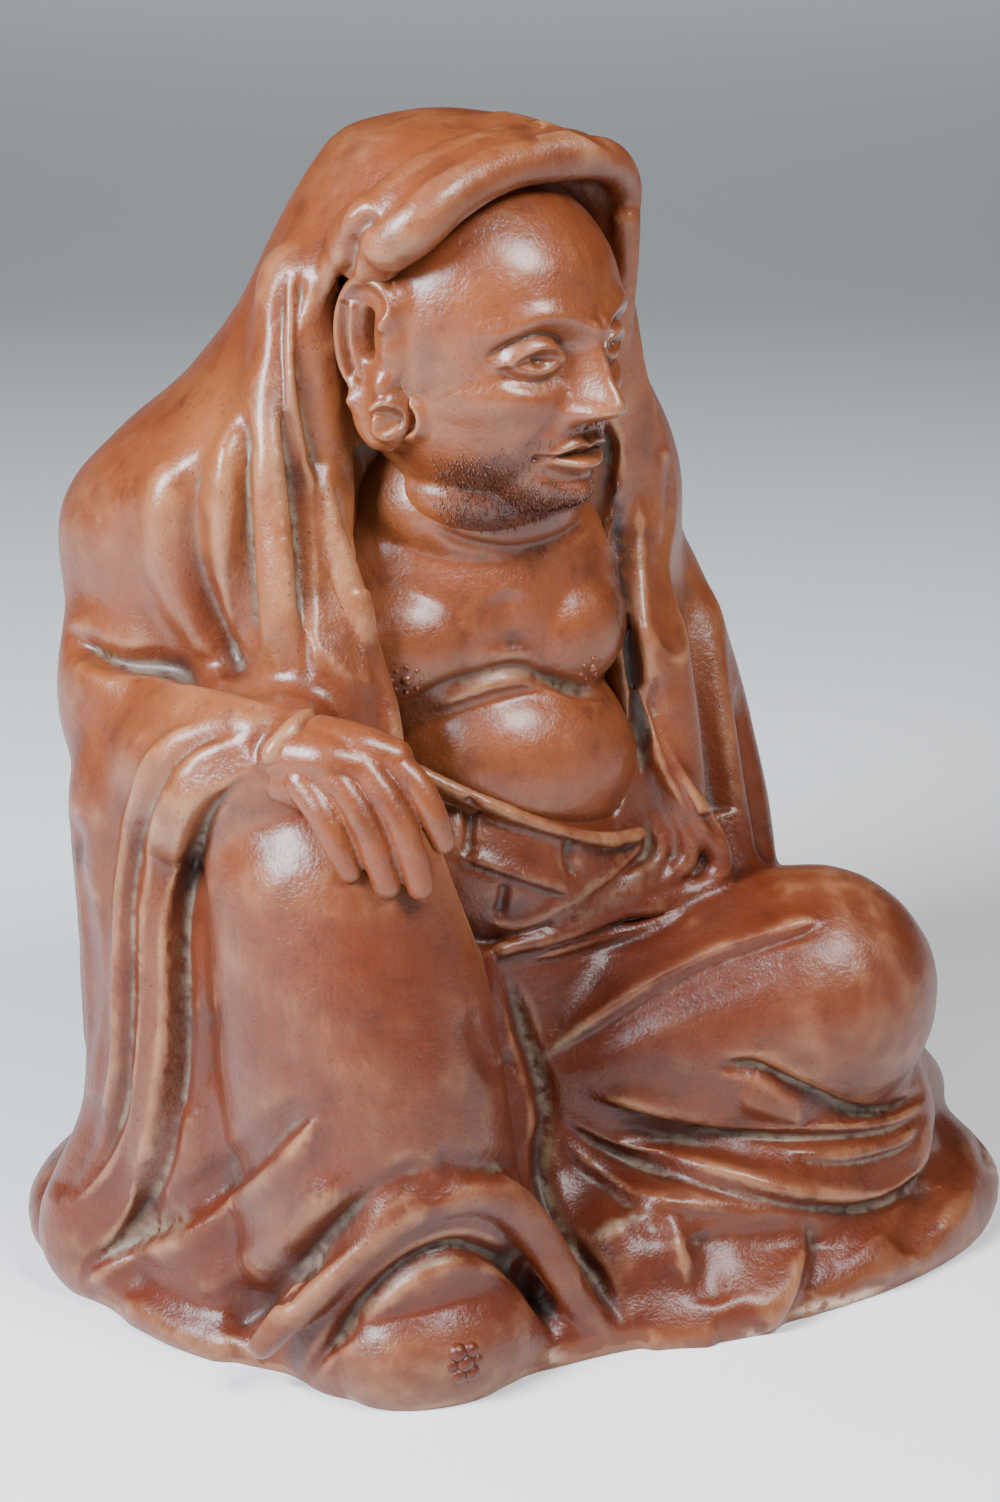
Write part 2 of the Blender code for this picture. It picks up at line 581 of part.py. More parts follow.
def clay():
    """Fired red-brown stoneware with the soft gloss of its natural ash."""
    material = bpy.data.materials.new("stoneware")
    material.use_nodes = True
    shader = material.node_tree.nodes["Principled BSDF"]
    shader.inputs["Base Color"].default_value = CLAY
    shader.inputs["Roughness"].default_value = CLAY_ROUGHNESS
    return material


def build():
    for obj in list(bpy.data.objects):
        bpy.data.objects.remove(obj)
    robe = block_robe()
    cut(robe, cutter_below())
    cut(robe, cutter_hood())
    figure = set_in_body(robe)
    carve(figure)
    reduce(figure)
    cut_flat(figure)
    centre(figure)
    figure.name = figure.data.name = "bodhidharma_figure"
    figure.data.materials.clear()
    figure.data.materials.append(clay())
    figure.data.shade_smooth()
    return figure


if __name__ in ("__main__", "part"):
    build()
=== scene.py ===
import math

import bmesh
import bpy
import numpy as np
from mathutils import Matrix, Vector, noise
from mathutils.bvhtree import BVHTree


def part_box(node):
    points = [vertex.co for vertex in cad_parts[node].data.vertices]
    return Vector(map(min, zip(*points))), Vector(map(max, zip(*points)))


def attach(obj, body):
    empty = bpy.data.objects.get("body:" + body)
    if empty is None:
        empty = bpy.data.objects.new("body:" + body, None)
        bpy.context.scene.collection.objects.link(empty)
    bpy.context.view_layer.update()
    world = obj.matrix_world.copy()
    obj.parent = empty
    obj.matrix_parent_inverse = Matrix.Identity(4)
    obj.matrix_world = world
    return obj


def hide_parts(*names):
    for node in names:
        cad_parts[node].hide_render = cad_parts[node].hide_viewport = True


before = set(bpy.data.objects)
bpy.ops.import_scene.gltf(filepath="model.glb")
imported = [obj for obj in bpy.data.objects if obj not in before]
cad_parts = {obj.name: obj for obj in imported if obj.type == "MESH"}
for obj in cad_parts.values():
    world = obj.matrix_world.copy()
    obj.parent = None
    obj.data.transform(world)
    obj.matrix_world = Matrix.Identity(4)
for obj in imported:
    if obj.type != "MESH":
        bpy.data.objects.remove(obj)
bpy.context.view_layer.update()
print("frame loaded")

# The carving grid: one step is one millimetre, the chest faces -Y, and the right hand is at -X
step = 0.001


def at(*point):
    return Vector(point) * step


# The head, from its middle: left, forward, up
head = {"middle": (-3.5, 0.5, 143), "turn": 25}


def byHead(left, forward, up):
    c, s = math.cos(math.radians(head["turn"])), math.sin(math.radians(head["turn"]))
    x, y, z = head["middle"]
    return (x + left * c + forward * s, y + left * s - forward * c, z + up)


def headPath(*places):
    return [byHead(*place) for place in places]


def headAxes():
    return [np.array(byHead(*way)) - byHead(0, 0, 0) for way in ((1, 0, 0), (0, 1, 0))]


# Folds are laid out on a sheet, as they look from the camera: 1000 units wide, x to the right, y down
sheet = {"azimuth": -25, "rise": 18, "distance": 470, "middle": (500, 751), "reach": 3190, "aim": (0, 0, 80)}


def sheetDirections():
    a, e = math.radians(sheet["azimuth"]), math.radians(sheet["rise"])
    back = Vector((math.sin(a) * math.cos(e), -math.cos(a) * math.cos(e), math.sin(e)))
    right = Vector((math.cos(a), math.sin(a), 0))
    return back, right, back.cross(right)


def sheetEye():
    return at(*sheet["aim"]) + sheetDirections()[0] * sheet["distance"] * step


def onSheet(x, y, near):  # the place seen there, this far in front of the middle
    back, right, up = sheetDirections()
    forward = Vector((back.x, back.y, 0)).normalized()
    way = right * (x - sheet["middle"][0]) + up * (sheet["middle"][1] - y) - back * sheet["reach"]
    eye = Vector(sheet["aim"]) + back * sheet["distance"]
    return eye + way * ((near - eye.dot(forward)) / way.dot(forward))


def sheetPath(*places):
    return [onSheet(*place) for place in places]


def spline(points, count):
    p = np.array(points, float)
    p = np.vstack([2 * p[0] - p[1], p, 2 * p[-1] - p[-2]])
    spans = len(p) - 3
    made = []
    for t in np.linspace(0, spans, count):
        i = min(int(t), spans - 1)
        s = t - i
        a, b, c, d = p[i : i + 4]
        bend = (2 * a - 5 * b + 4 * c - d) * s * s + (3 * b - a - 3 * c + d) * s**3
        made.append(0.5 * (2 * b + (c - a) * s + bend))
    return np.array(made)


def bridgeRings(bm, rings):
    for low, high in zip(rings, rings[1:]):
        n = len(low)
        for i in range(n):
            bm.faces.new((low[i], low[(i + 1) % n], high[(i + 1) % n], high[i]))
    bm.faces.new(list(reversed(rings[0])))
    bm.faces.new(rings[-1])


def addEgg(bm, centre, radii, turn=(0, 0, 0)):
    spin = Matrix.Rotation(math.radians(turn[2]), 4, "Z")
    spin = spin @ Matrix.Rotation(math.radians(turn[1]), 4, "Y") @ Matrix.Rotation(math.radians(turn[0]), 4, "X")
    size = Matrix.Diagonal((*at(*radii), 1))
    place = Matrix.Translation(at(*centre)) @ spin @ size
    bmesh.ops.create_icosphere(bm, subdivisions=5, radius=1, matrix=place)


def addLimb(bm, path, radii, flat=1.0, sides=28):
    count = 10 * len(path)
    centres = spline(path, count) * step
    sizes = spline([(r,) for r in radii], count)[:, 0] * step
    tangents = np.gradient(centres, axis=0)
    tangents /= np.linalg.norm(tangents, axis=1)[:, None]

    def cap(end, angle):  # rounds the start with angles below 0 and the end with angles above
        a = math.radians(angle)
        return centres[end] + tangents[end] * sizes[end] * math.sin(a), tangents[end], sizes[end] * math.cos(a)

    stations = [cap(0, angle) for angle in (-80, -60, -40, -20)] + list(zip(centres, tangents, sizes))
    stations += [cap(-1, angle) for angle in (20, 40, 60, 80)]
    up = Vector((0, 0, 1))
    if abs(Vector(centres[-1] - centres[0]).normalized().z) > 0.85:
        up = Vector((0, -1, 0))
    rings = []
    for centre, tangent, size in stations:
        side = up.cross(Vector(tangent)).normalized()
        top = Vector(tangent).cross(side).normalized()
        ring = []
        for k in range(sides):
            a = 2 * math.pi * k / sides
            offset = side * math.cos(a) * size + top * math.sin(a) * size * flat
            ring.append(bm.verts.new(Vector(centre) + offset))
        rings.append(ring)
    bridgeRings(bm, rings)


def linked(name, data):
    obj = bpy.data.objects.new(name, data)
    bpy.context.scene.collection.objects.link(obj)
    return obj


def newObject(name, bm):
    bmesh.ops.recalc_face_normals(bm, faces=bm.faces)
    mesh = bpy.data.meshes.new(name)
    bm.to_mesh(mesh)
    bm.free()
    return linked(name, mesh)


def applied(obj):
    graph = bpy.context.evaluated_depsgraph_get()
    mesh = bpy.data.meshes.new_from_object(obj.evaluated_get(graph))
    obj.modifiers.clear()
    old = obj.data
    obj.data = mesh
    bpy.data.meshes.remove(old)
    return obj


def modified(obj, kind, settings):
    modifier = obj.modifiers.new(kind.lower(), kind)
    for name, value in settings.items():
        setattr(modifier, name, value)
    return applied(obj)


def soften(obj, rounds):
    return modified(obj, "SMOOTH", {"factor": 0.5, "iterations": rounds})


def melt(obj, grain, rounds):  # merges overlapping masses into one skin
    modified(obj, "REMESH", {"mode": "VOXEL", "voxel_size": grain * step})
    return soften(obj, rounds)


def cutAway(obj, cutter):
    modified(obj, "BOOLEAN", {"operation": "DIFFERENCE", "solver": "EXACT", "object": cutter})
    bpy.data.objects.remove(cutter)


class Flow:  # a node's output that adds maths nodes as it is used
    def __init__(self, graph, socket):
        self.graph, self.socket = graph, socket

    def maths(self, operation, *values):
        return self.graph.node("ShaderNodeMath", {"operation": operation}, dict(enumerate(values)))

    def __add__(self, other):
        return self.maths("ADD", self, other)

    def __radd__(self, other):
        return self.maths("ADD", other, self)

    def __sub__(self, other):
        return self.maths("SUBTRACT", self, other)

    def __rsub__(self, other):
        return self.maths("SUBTRACT", other, self)

    def __mul__(self, other):
        return self.maths("MULTIPLY", self, other)

    def __rmul__(self, other):
        return self.maths("MULTIPLY", other, self)

    def span(self, low, high):  # 0 to 1 between two values, eased
        settings = {"interpolation_type": "SMOOTHSTEP"}
        return self.graph.node("ShaderNodeMapRange", settings, {0: self, 1: low, 2: high})

    def other(self, output):  # another output of the same node
        return Flow(self.graph, self.socket.node.outputs[output])


class Graph:
    def __init__(self, tree):
        self.tree = tree

    def node(self, kind, settings=None, values=None, output=0):
        made = self.tree.nodes.new(kind)
        for name, value in (settings or {}).items():
            setattr(made, name, value)
        for key, value in (values or {}).items():
            self.feed(value, made.inputs[key])
        if len(made.outputs):
            return Flow(self, made.outputs[output])

    def feed(self, values, socket):  # a list goes into a socket that takes several
        for value in values if isinstance(values, list) else [values]:
            if isinstance(value, Flow):
                self.tree.links.new(value.socket, socket)
            else:
                socket.default_value = value

    def mix(self, share, a, b):
        return self.node("ShaderNodeMix", {"data_type": "RGBA"}, {0: share, 6: a, 7: b}, output=2)


# Robe and hood: level ovals as height, centre x, centre y, half width, half depth, turn
robe = {
    "ovals": [
        (-4, 0, 20, 56, 48, 0), (12, -1, 22, 53, 46, 0), (40, -4, 25, 50, 41, 0), (70, -5, 27, 48, 39, 0),
        (90, -6, 28, 47, 38, 0), (104, -7.5, 28, 48, 38, 0), (116, -8, 26, 48, 37.5, 4),
        (126, -7.5, 21, 43, 35, 12), (136, -6.5, 14, 33.5, 32, 20), (147, -5.5, 8.5, 26.5, 29, 25),
        (157, -4.8, 6.5, 22.5, 26, 25), (165, -4.4, 5, 18.5, 22.5, 25), (170.5, -4.8, 5.5, 13.5, 17, 25),
        (173.5, -5, 6, 4.5, 5.5, 25),
    ],
    "hem": [
        (-12, -41), (4, -41), (18, -45), (32, -43), (50, -40), (68, -32), (81, -16), (83, 4), (76, 28), (60, 52),
        (34, 68), (0, 72), (-34, 67), (-56, 52), (-66, 32), (-64, 9), (-58, -10), (-46, -26), (-30, -38),
    ],
    "hemMiddle": (4, 14),
    "hemRise": [(0.93, -4), (0.98, -1), (1, 2), (0.985, 5), (0.93, 8), (0.82, 12), (0.66, 20), (0.45, 28)],
    "limbs": {
        "right upper arm": ([(-24, 30, 118), (-36, 28, 104), (-43, 21, 88), (-44, 8, 82)], [15, 17, 17, 14]),
        "right forearm": ([(-45, 10, 82), (-45, -6, 86), (-41, -17, 90)], [14, 12, 9]),
        "hanging sleeve": ([(-47, 12, 76), (-49.5, 9, 50), (-51.5, 10, 28), (-56, 14, 8)], [15, 12.5, 11, 13]),
        "left arm": ([(19, 27, 110), (31, 22, 88), (36, 13, 62), (34, 2, 44)], [17, 16, 15, 14]),
        "right thigh": ([(-16, 18, 26), (-24, -2, 50), (-33, -16, 70)], [22, 20, 18]),
        "right shin": ([(-33, -16, 70), (-31, -20, 44), (-28, -22, 16)], [18, 20, 20]),
        "left thigh": ([(0, 2, 30), (24, -8, 35), (44, -16, 40)], [17, 20, 20]),
        "left shin": ([(52, -12, 16), (30, -24, 12), (6, -28, 8)], [16, 13, 10]),
        "right foot": ([(-34, -28, 6), (-21, -34, 6)], [12, 10.5]),
        "left tail": ([(56, -8, 22), (69, -2, 12), (78, 5, 6)], [9, 7.5, 4.5]),
        "between sleeve and leg": ([(-42, 2, 62), (-44, 0, 38), (-45, -4, 12)], [12, 12, 12]),
        "hood right fall": ([(-27, 4, 150), (-29, -1, 128), (-30, -4, 106), (-29, -8, 84)], [8, 9, 10, 9]),
        "hood left fall": (
            [(20, 4, 146), (21, 2, 128), (22, 0.5, 108), (25, -1, 86), (27, -5, 64)], [3, 4.6, 6, 6.4, 5.4],
        ),
    },
    "opening": [
        (-24, 128), (-24.5, 104), (-23, 84), (-17, 64), (-9, 55), (3, 60), (15, 70), (18, 82), (16, 104), (17, 128),
    ],
    "openingDepth": 4,
    "hoodCut": [  # up from the head's middle; how far forward it is cut on the right, in the middle, on the left
        (-62, 18, 8, 26), (-48, 6, -3, 17), (-34, -3, -8, 10), (-16, -7, -8, 10), (2, -8, -8, 11),
        (10, -6.5, -6, 11), (15, 2, 0, 12), (18, 6, 6, 12.5), (21, 9, 9, 13), (25, 12.5, 12, 14), (32, 17, 17, 17),
    ],
    "blockGrain": 1.4,
    "blockRounds": 18,
    "grain": 0.58,
    "rounds": 5,
    "deepest": 2.8,
    "foldRounds": 2,
    "budget": 190000,
}

# Laid on the robe once it is open: pads as eggs with middle, half sizes, turn, and rolls as path, radii
robe["pads"] = {
    "round the waist": ((-2, 6, 64.5), (25, 21.6, 18.8), (0, 12, 0)),
    "beside the ear": (byHead(-20.6, -1.5, 14.5), (3.8, 6.5, 5.5), (0, 0, 25)),
    "foot": ((-27, -35, 6), (15, 10.5, 11), (0, 0, 0)),
    "behind the lapel": (onSheet(697, 868, -8.3), (5, 5, 6), (0, 0, 0)),
    "lap by the lapel": (onSheet(629, 924, -1.2), (7, 4.5, 3.6), (0, 0, 0)),
}
robe["rolls"] = {
    "over the head": (
        headPath(
            (19.5, 11, 13), (18.5, 12, 19), (14, 13, 23), (8, 13.4, 24.8), (1, 12, 25),
            (-6, 10.4, 24.6), (-12, 9.2, 23), (-17, 8, 20.6), (-20, 6.2, 17.8), (-21.6, 3.4, 15.2),
        ),
        [1.8, 2.4, 2.9, 3.1, 3.2, 3.4, 3.6, 3.9, 4.1, 3.9],
    ),
    "behind the roll": (
        headPath(
            (17.5, 7.5, 19.5), (13, 8.6, 23.6), (7, 9, 25.2), (0, 8, 25.6),
            (-7, 6.2, 25), (-13, 4.6, 23.2), (-18, 2.8, 20.2), (-21, 0.6, 17),
        ),
        [2.4, 3.2, 3.6, 3.8, 4, 4.3, 4.6, 4.4],
    ),
    "on the left": (headPath((18.5, 12, 15), (20, 11, 6), (20.5, 9, -6), (20.5, 5, -18)), [2.2, 1.7, 1.4, 0.8]),
    "on the right": (
        headPath((-22.6, -6.5, 12), (-24.4, -9.6, 3), (-24.6, -10, -10), (-25.5, -6, -24))
        + [(-25.5, -9, 104), (-23.5, -14, 90), (-23, -15, 78)],
        [1.3, 1.6, 1.6, 1.7, 2, 2, 1.4],
    ),
    "over the foot": (
        sheetPath(
            (262, 1350, 48.5), (302, 1308, 49.5), (348, 1262, 49.2), (396, 1220, 48.4), (440, 1198, 46.4),
            (478, 1194, 43.4), (510, 1208, 41), (538, 1240, 39), (566, 1286, 37.5), (590, 1322, 36), (610, 1342, 35),
        ),
        [1.8, 2.6, 3.2, 3.5, 3.6, 3.6, 3.4, 3.2, 2.8, 2.4, 1.8],
    ),
    "lapel outer": (
        sheetPath(
            (636, 690, -3.6), (667, 765, -2.9), (699, 815, -3), (718, 856, -4.4), (712, 882, -3.4),
            (680, 896, -1.2), (648, 903, 2), (617, 910, 4.8), (560, 932, 11.4), (500, 951, 16.4),
        ),
        [1.2, 1.9, 2.1, 2.1, 2.1, 2, 1.9, 1.7, 1.4, 1],
    ),
    "lapel middle": (
        sheetPath(
            (648, 746, -4.4), (664, 790, -3.4), (686, 834, -2.6), (686, 862, -2),
            (661, 882, -0.4), (634, 892, 3.2), (605, 900, 6.2), (555, 918, 12.4),
        ),
        [0.8, 1.2, 1.5, 1.6, 1.6, 1.5, 1.4, 1],
    ),
    "lapel inner": (
        sheetPath(
            (642, 806, -3), (660, 840, -2.2), (654, 864, -0.8),
            (634, 877, 2.4), (610, 888, 4.8), (574, 904, 10.6),
        ),
        [0.7, 1.1, 1.3, 1.3, 1.2, 0.9],
    ),
    "sash": (
        [(-20, -8, 84), (-12, -12, 79), (-1, -13.8, 73), (9, -13.2, 69), (19, -8.5, 67)], [1.1, 1.2, 1.3, 1.2, 1],
    ),
}


def buildRobe():
    bm = bmesh.new()
    rings = []
    for z, cx, cy, rx, ry, turn in spline(robe["ovals"], 6 * len(robe["ovals"])):
        c, s = math.cos(math.radians(turn)), math.sin(math.radians(turn))
        ring = []
        for k in range(96):
            a = 2 * math.pi * k / 96
            x, y = rx * math.cos(a), ry * math.sin(a)
            ring.append(bm.verts.new(at(cx + x * c - y * s, cy + x * s + y * c, z)))
        rings.append(ring)
    bridgeRings(bm, rings)
    edge = spline(robe["hem"] + robe["hem"][:1], 160)[:-1]
    heart = np.array(robe["hemMiddle"], float)
    rings = []
    for share, z in robe["hemRise"]:
        rings.append([bm.verts.new(at(*(heart + (p - heart) * share), z)) for p in edge])
    bridgeRings(bm, rings)
    for path, radii in robe["limbs"].values():
        addLimb(bm, path, radii)
    obj = melt(newObject("robe", bm), robe["blockGrain"], robe["blockRounds"])

    bm = bmesh.new()
    outline = spline(robe["opening"] + robe["opening"][:1], 60)[:-1]
    bridgeRings(bm, [[bm.verts.new(at(x, y, z)) for x, z in outline] for y in (-80, robe["openingDepth"])])
    cutAway(obj, newObject("opening below", bm))
    bm = bmesh.new()
    rings = []
    for up, right, middle, left in spline(robe["hoodCut"], 30):
        plan = [(-60, right), (-24, right), (-16, middle), (12, middle), (18, left), (60, left), (60, 70), (-60, 70)]
        rings.append([bm.verts.new(at(*byHead(across, forward, up))) for across, forward in plan])
    bridgeRings(bm, rings)
    cutAway(obj, newObject("opening above", bm))

    bm = bmesh.new()
    bm.from_mesh(obj.data)
    bpy.data.objects.remove(obj)
    for path, radii in robe["rolls"].values():
        addLimb(bm, path, radii)
    for centre, radii, turn in robe["pads"].values():
        addEgg(bm, centre, radii, turn)
    return melt(newObject("robe", bm), robe["grain"], robe["rounds"])


def sheetRays(points):
    back, right, up = sheetDirections()
    for x, y in points:
        yield sheetEye(), right * (x - sheet["middle"][0]) + up * (sheet["middle"][1] - y) - back * sheet["reach"]


def roundRays(points):  # azimuth from the front towards the figure's left, and height
    for azimuth, z in points:
        a = math.radians(azimuth)
        out = Vector((math.sin(a), -math.cos(a), 0))
        yield at(-4, 14, z) + out * 0.15, -out


def vertexArrays(mesh):
    n = len(mesh.vertices)
    points, normals = np.empty(n * 3), np.empty(n * 3)
    mesh.vertices.foreach_get("co", points)
    mesh.vertex_normals.foreach_get("vector", normals)
    return points.reshape(n, 3), normals.reshape(n, 3)


def moveVertices(mesh, points):
    mesh.vertices.foreach_set("co", points.ravel())
    mesh.update()


def rayTree(mesh):
    bm = bmesh.new()
    bm.from_mesh(mesh)
    tree = BVHTree.FromBMesh(bm)
    bm.free()
    return tree


def addLayer(mesh, name, values):  # a value for each vertex, which the clay reads by its name
    if name not in mesh.attributes:
        mesh.attributes.new(name, "FLOAT", "POINT")
    mesh.attributes[name].data.foreach_set("value", values.astype(np.float32))


# Bare body: eggs as middle, half sizes, turn
body = {
    "eggs": {
        "neck": ((-3, 7, 118), (18, 17, 13), (0, 0, 10)),
        "chest": ((-3, 12, 100), (27, 22, 26), (0, 0, 0)),
        "right breast": ((-14.5, 3.5, 99), (14.5, 14, 12), (0, 0, 0)),
        "left breast": ((8, 3.5, 98.5), (12.6, 14, 11.8), (0, 0, 0)),
        "belly": ((1.8, 4.2, 79.2), (21.2, 18.8, 16.4), (0, 12, 0)),
    },
    "grain": 0.6,
    "rounds": 9,
    "deepest": 2.6,
    "foldRounds": 1,
    "budget": 46000,
}


def buildBody():
    bm = bmesh.new()
    for centre, radii, turn in body["eggs"].values():
        addEgg(bm, centre, radii, turn)
    return melt(newObject("body", bm), body["grain"], body["rounds"])


# Head, measured from its middle: eggs as middle, half sizes
head.update(
    eggs={
        "skull": ((0, -1.5, 3), (20.5, 22.5, 21.5)),
        "jaw": ((0, 1.6, -8.5), (17.5, 18, 15.5)),
        "cheeks": ((0, 4.5, -6), (17.5, 15.5, 12)),
        "chin": ((0, 8.5, -17.2), (9, 10.5, 7.4)),
        "throat": ((0, 0, -22), (13.5, 12.5, 8)),
        "right ear": ((-19.4, -1.4, 2.4), (2.5, 6.4, 9.4)),
        "left ear": ((19.4, -1.4, 2.4), (2.5, 6.4, 9.4)),
        "right lobe": ((-18.6, -0.6, -8.2), (3.2, 4.6, 6.2)),
        "left lobe": ((18.6, -0.6, -8.2), (3.2, 4.6, 6.2)),
    },
    grain=0.36,
    rounds=16,
    budget=88000,
)

# The face, as left and up from the head's middle: bumps have half width, half height and rise
face = {
    "bumps": {
        "forehead": (6, 11.5, 7, 5, 0.5),
        "temple": (17.5, 3, 4, 6, -0.8),
        "between the brows": (0, 3.6, 2.6, 2.6, 0.5),
        "socket": (8, -0.2, 4.9, 3.2, -2.9),
        "inner corner": (4.2, 0, 1.6, 2, -1),
        "cheekbone": (11.5, -5.4, 4.6, 2.8, 1),
        "cheek": (9, -9.5, 4.5, 4, 0.5),
        "under the cheekbone": (14, -13, 4, 4, -0.6),
        "nostril wing": (3.3, -8.7, 1.6, 1.6, 2.7),
        "mouth mound": (0, -14.8, 6, 4, 1.7),
        "mouth corner": (6.4, -14.6, 1.2, 1.3, -0.7),
        "chin": (0, -21.4, 4.2, 2.8, 2.4),
    },
    "ridges": {
        "brow": ([(1.6, 3.2), (5, 4.8), (9, 5.3), (13.5, 3.2)], 1.8, 1.2),
        "upper lid": ([(4.3, -0.7), (6, 0.6), (8.4, 1.2), (10.8, 0.5), (12.8, -0.9)], 0.75, 1.1),
        "fold over the lid": ([(4.6, 1.1), (6.6, 2.6), (9, 3), (11.8, 1.9), (13.4, 0.3)], 0.6, -0.5),
        "lower lid": ([(4.5, -1.2), (6.4, -2), (8.6, -2.2), (10.8, -1.8), (12.4, -1)], 0.6, 0.55),
        "under the eye": ([(5, -3.4), (8, -4.3), (11.4, -3.5)], 1, -0.25),
        "beside the nose": ([(4.6, -7.6), (6.2, -10.2), (7.9, -13)], 1.1, -0.6),
        "groove over the lip": ([(0, -10.9), (0, -12.5)], 0.8, -0.3),
        "upper lip": ([(0, -13.45), (1.5, -13.05), (3.6, -13.6), (6, -14.5)], 0.72, 0.85),
        "mouth line": ([(0, -14.7), (1.6, -14.5), (4, -14.65), (6.6, -14.9)], 0.42, -1.15),
        "lower lip": ([(0, -16.1), (2.4, -16), (4.9, -15.2)], 0.95, 1.1),
        "under the lip": ([(0, -18.5), (3, -18.3), (5, -17.4)], 1.3, -0.9),
    },
    "nose": [  # up, rise, half width
        (4.5, 0.2, 2.2), (2.2, 0.9, 1.5), (0, 2.1, 1.45), (-3, 4, 1.6), (-5.6, 5.6, 1.9), (-7.2, 6.5, 2.35),
        (-8.3, 6.4, 2.4), (-9.2, 5, 2.2), (-10, 2.4, 1.9), (-10.8, 0.6, 1.7), (-11.6, 0, 1.6),
    ],
    "nostrilHole": (1.75, -9.9, 0.75, 0.6, -1.8),
    "ball": (8.3, -0.35, 4.3, 3.1, 2.1),
    "pupil": (8.1, -0.6, 0.9, -0.7),
}


# The ears, as forward and up on the side of the head
ear = {
    "bumps": {
        "bowl": (-1.6, 2.6, 2.2, 4.4, -0.8),
        "front flap": (2.6, 0.4, 1.5, 2, 0.7),
        "knob under the hole": (1.6, -4.4, 2, 1.7, 1.5),
        "middle of the curl": (3, -9.3, 1.2, 1.2, -1.6),
    },
    "ridges": {
        "rim": (
            [(-4.6, -7), (-6.2, -2), (-6.4, 4), (-4.4, 8.6), (-1, 10.2), (2.4, 9), (3.8, 6.4), (2.6, 4)], 1.25, 1.5,
        ),
        "inside the rim": ([(-5, 6), (-4.9, 1), (-4, -3)], 0.7, -0.9),
        "inner ridge": ([(-3.6, 6), (-3.9, 1), (-2.6, -3.4)], 0.8, 0.7),
        "hole": ([(-1, 5), (-1.3, 2.4), (-1, 0)], 0.8, -3.2),
        "lobe": ([(-3.4, -6), (-3.2, -10), (-0.8, -13)], 1.6, 0.9),
        "curl": (
            [(0.6, -7.6), (2.4, -6.6), (4.4, -7.2), (5.2, -9.2), (4.6, -11.2), (2.6, -12), (1, -10.8), (1.2, -9)],
            0.8, 1.5,
        ),
    },
}


def curveGap(left, up, path):  # how far each point lies from a curve on the face
    p = spline(path, 24)
    gap = np.full(len(left), 99.0)
    for (x0, y0), (x1, y1) in zip(p, p[1:]):
        dx, dy = x1 - x0, y1 - y0
        t = np.clip(((left - x0) * dx + (up - y0) * dy) / (dx * dx + dy * dy), 0, 1)
        gap = np.minimum(gap, np.hypot(left - x0 - t * dx, up - y0 - t * dy))
    return gap


def bump(left, up, x, y, width, height, rise):
    return rise * np.exp(-(((left - x) / width) ** 2) - ((up - y) / height) ** 2)


def addBumps(rise, table, across, up):
    for place in table["bumps"].values():
        rise += bump(across, up, *place)


def addRidges(rise, table, across, up):
    for path, width, out in table["ridges"].values():
        rise += out * np.exp(-((curveGap(across, up, path) / width) ** 2))


def faceRise(left, up):
    left = np.abs(left)
    rise = np.zeros(len(left))
    addBumps(rise, face, left, up)
    x, y, width, height, out = face["ball"]
    dome = np.clip(1 - ((left - x) / width) ** 2 - ((up - y) / height) ** 2, 0, 1)
    rise += out * np.sqrt(dome)
    addRidges(rise, face, left, up)
    stations = np.array(face["nose"])[::-1]
    noseRise = np.interp(up, stations[:, 0], stations[:, 1])
    noseWidth = np.interp(up, stations[:, 0], stations[:, 2])
    rise += noseRise * np.exp(-((left / (noseWidth * 1.25)) ** 2) ** 1.25)
    rise += bump(left, up, *face["nostrilHole"])
    x, y, width, out = face["pupil"]
    gap = np.hypot(left - x, up - y) / width
    rise += out / (1 + np.exp((gap - 1) * 9))
    return rise


def earRise(forward, up):
    rise = np.zeros(len(forward))
    addBumps(rise, ear, forward, up)
    addRidges(rise, ear, forward, up)
    return rise


def buildHead():
    bm = bmesh.new()
    for centre, radii in head["eggs"].values():
        addEgg(bm, byHead(*centre), radii, (0, 0, head["turn"]))
    obj = melt(newObject("head", bm), head["grain"], head["rounds"])
    points, normals = vertexArrays(obj.data)
    across, forward = headAxes()
    offset = points / step - head["middle"]
    facing = np.clip((normals @ forward - 0.02) / 0.3, 0, 1)
    rise = faceRise(offset @ across, offset[:, 2]) * facing
    aside = np.clip((np.abs(normals @ across) - 0.35) / 0.35, 0, 1) * (np.abs(offset @ across) > 15)
    outward = np.sign(offset @ across) * earRise(offset @ forward, offset[:, 2]) * aside
    points += forward * (rise * step)[:, None] + across * (outward * step)[:, None]
    moveVertices(obj.data, points)
    return soften(obj, 1)


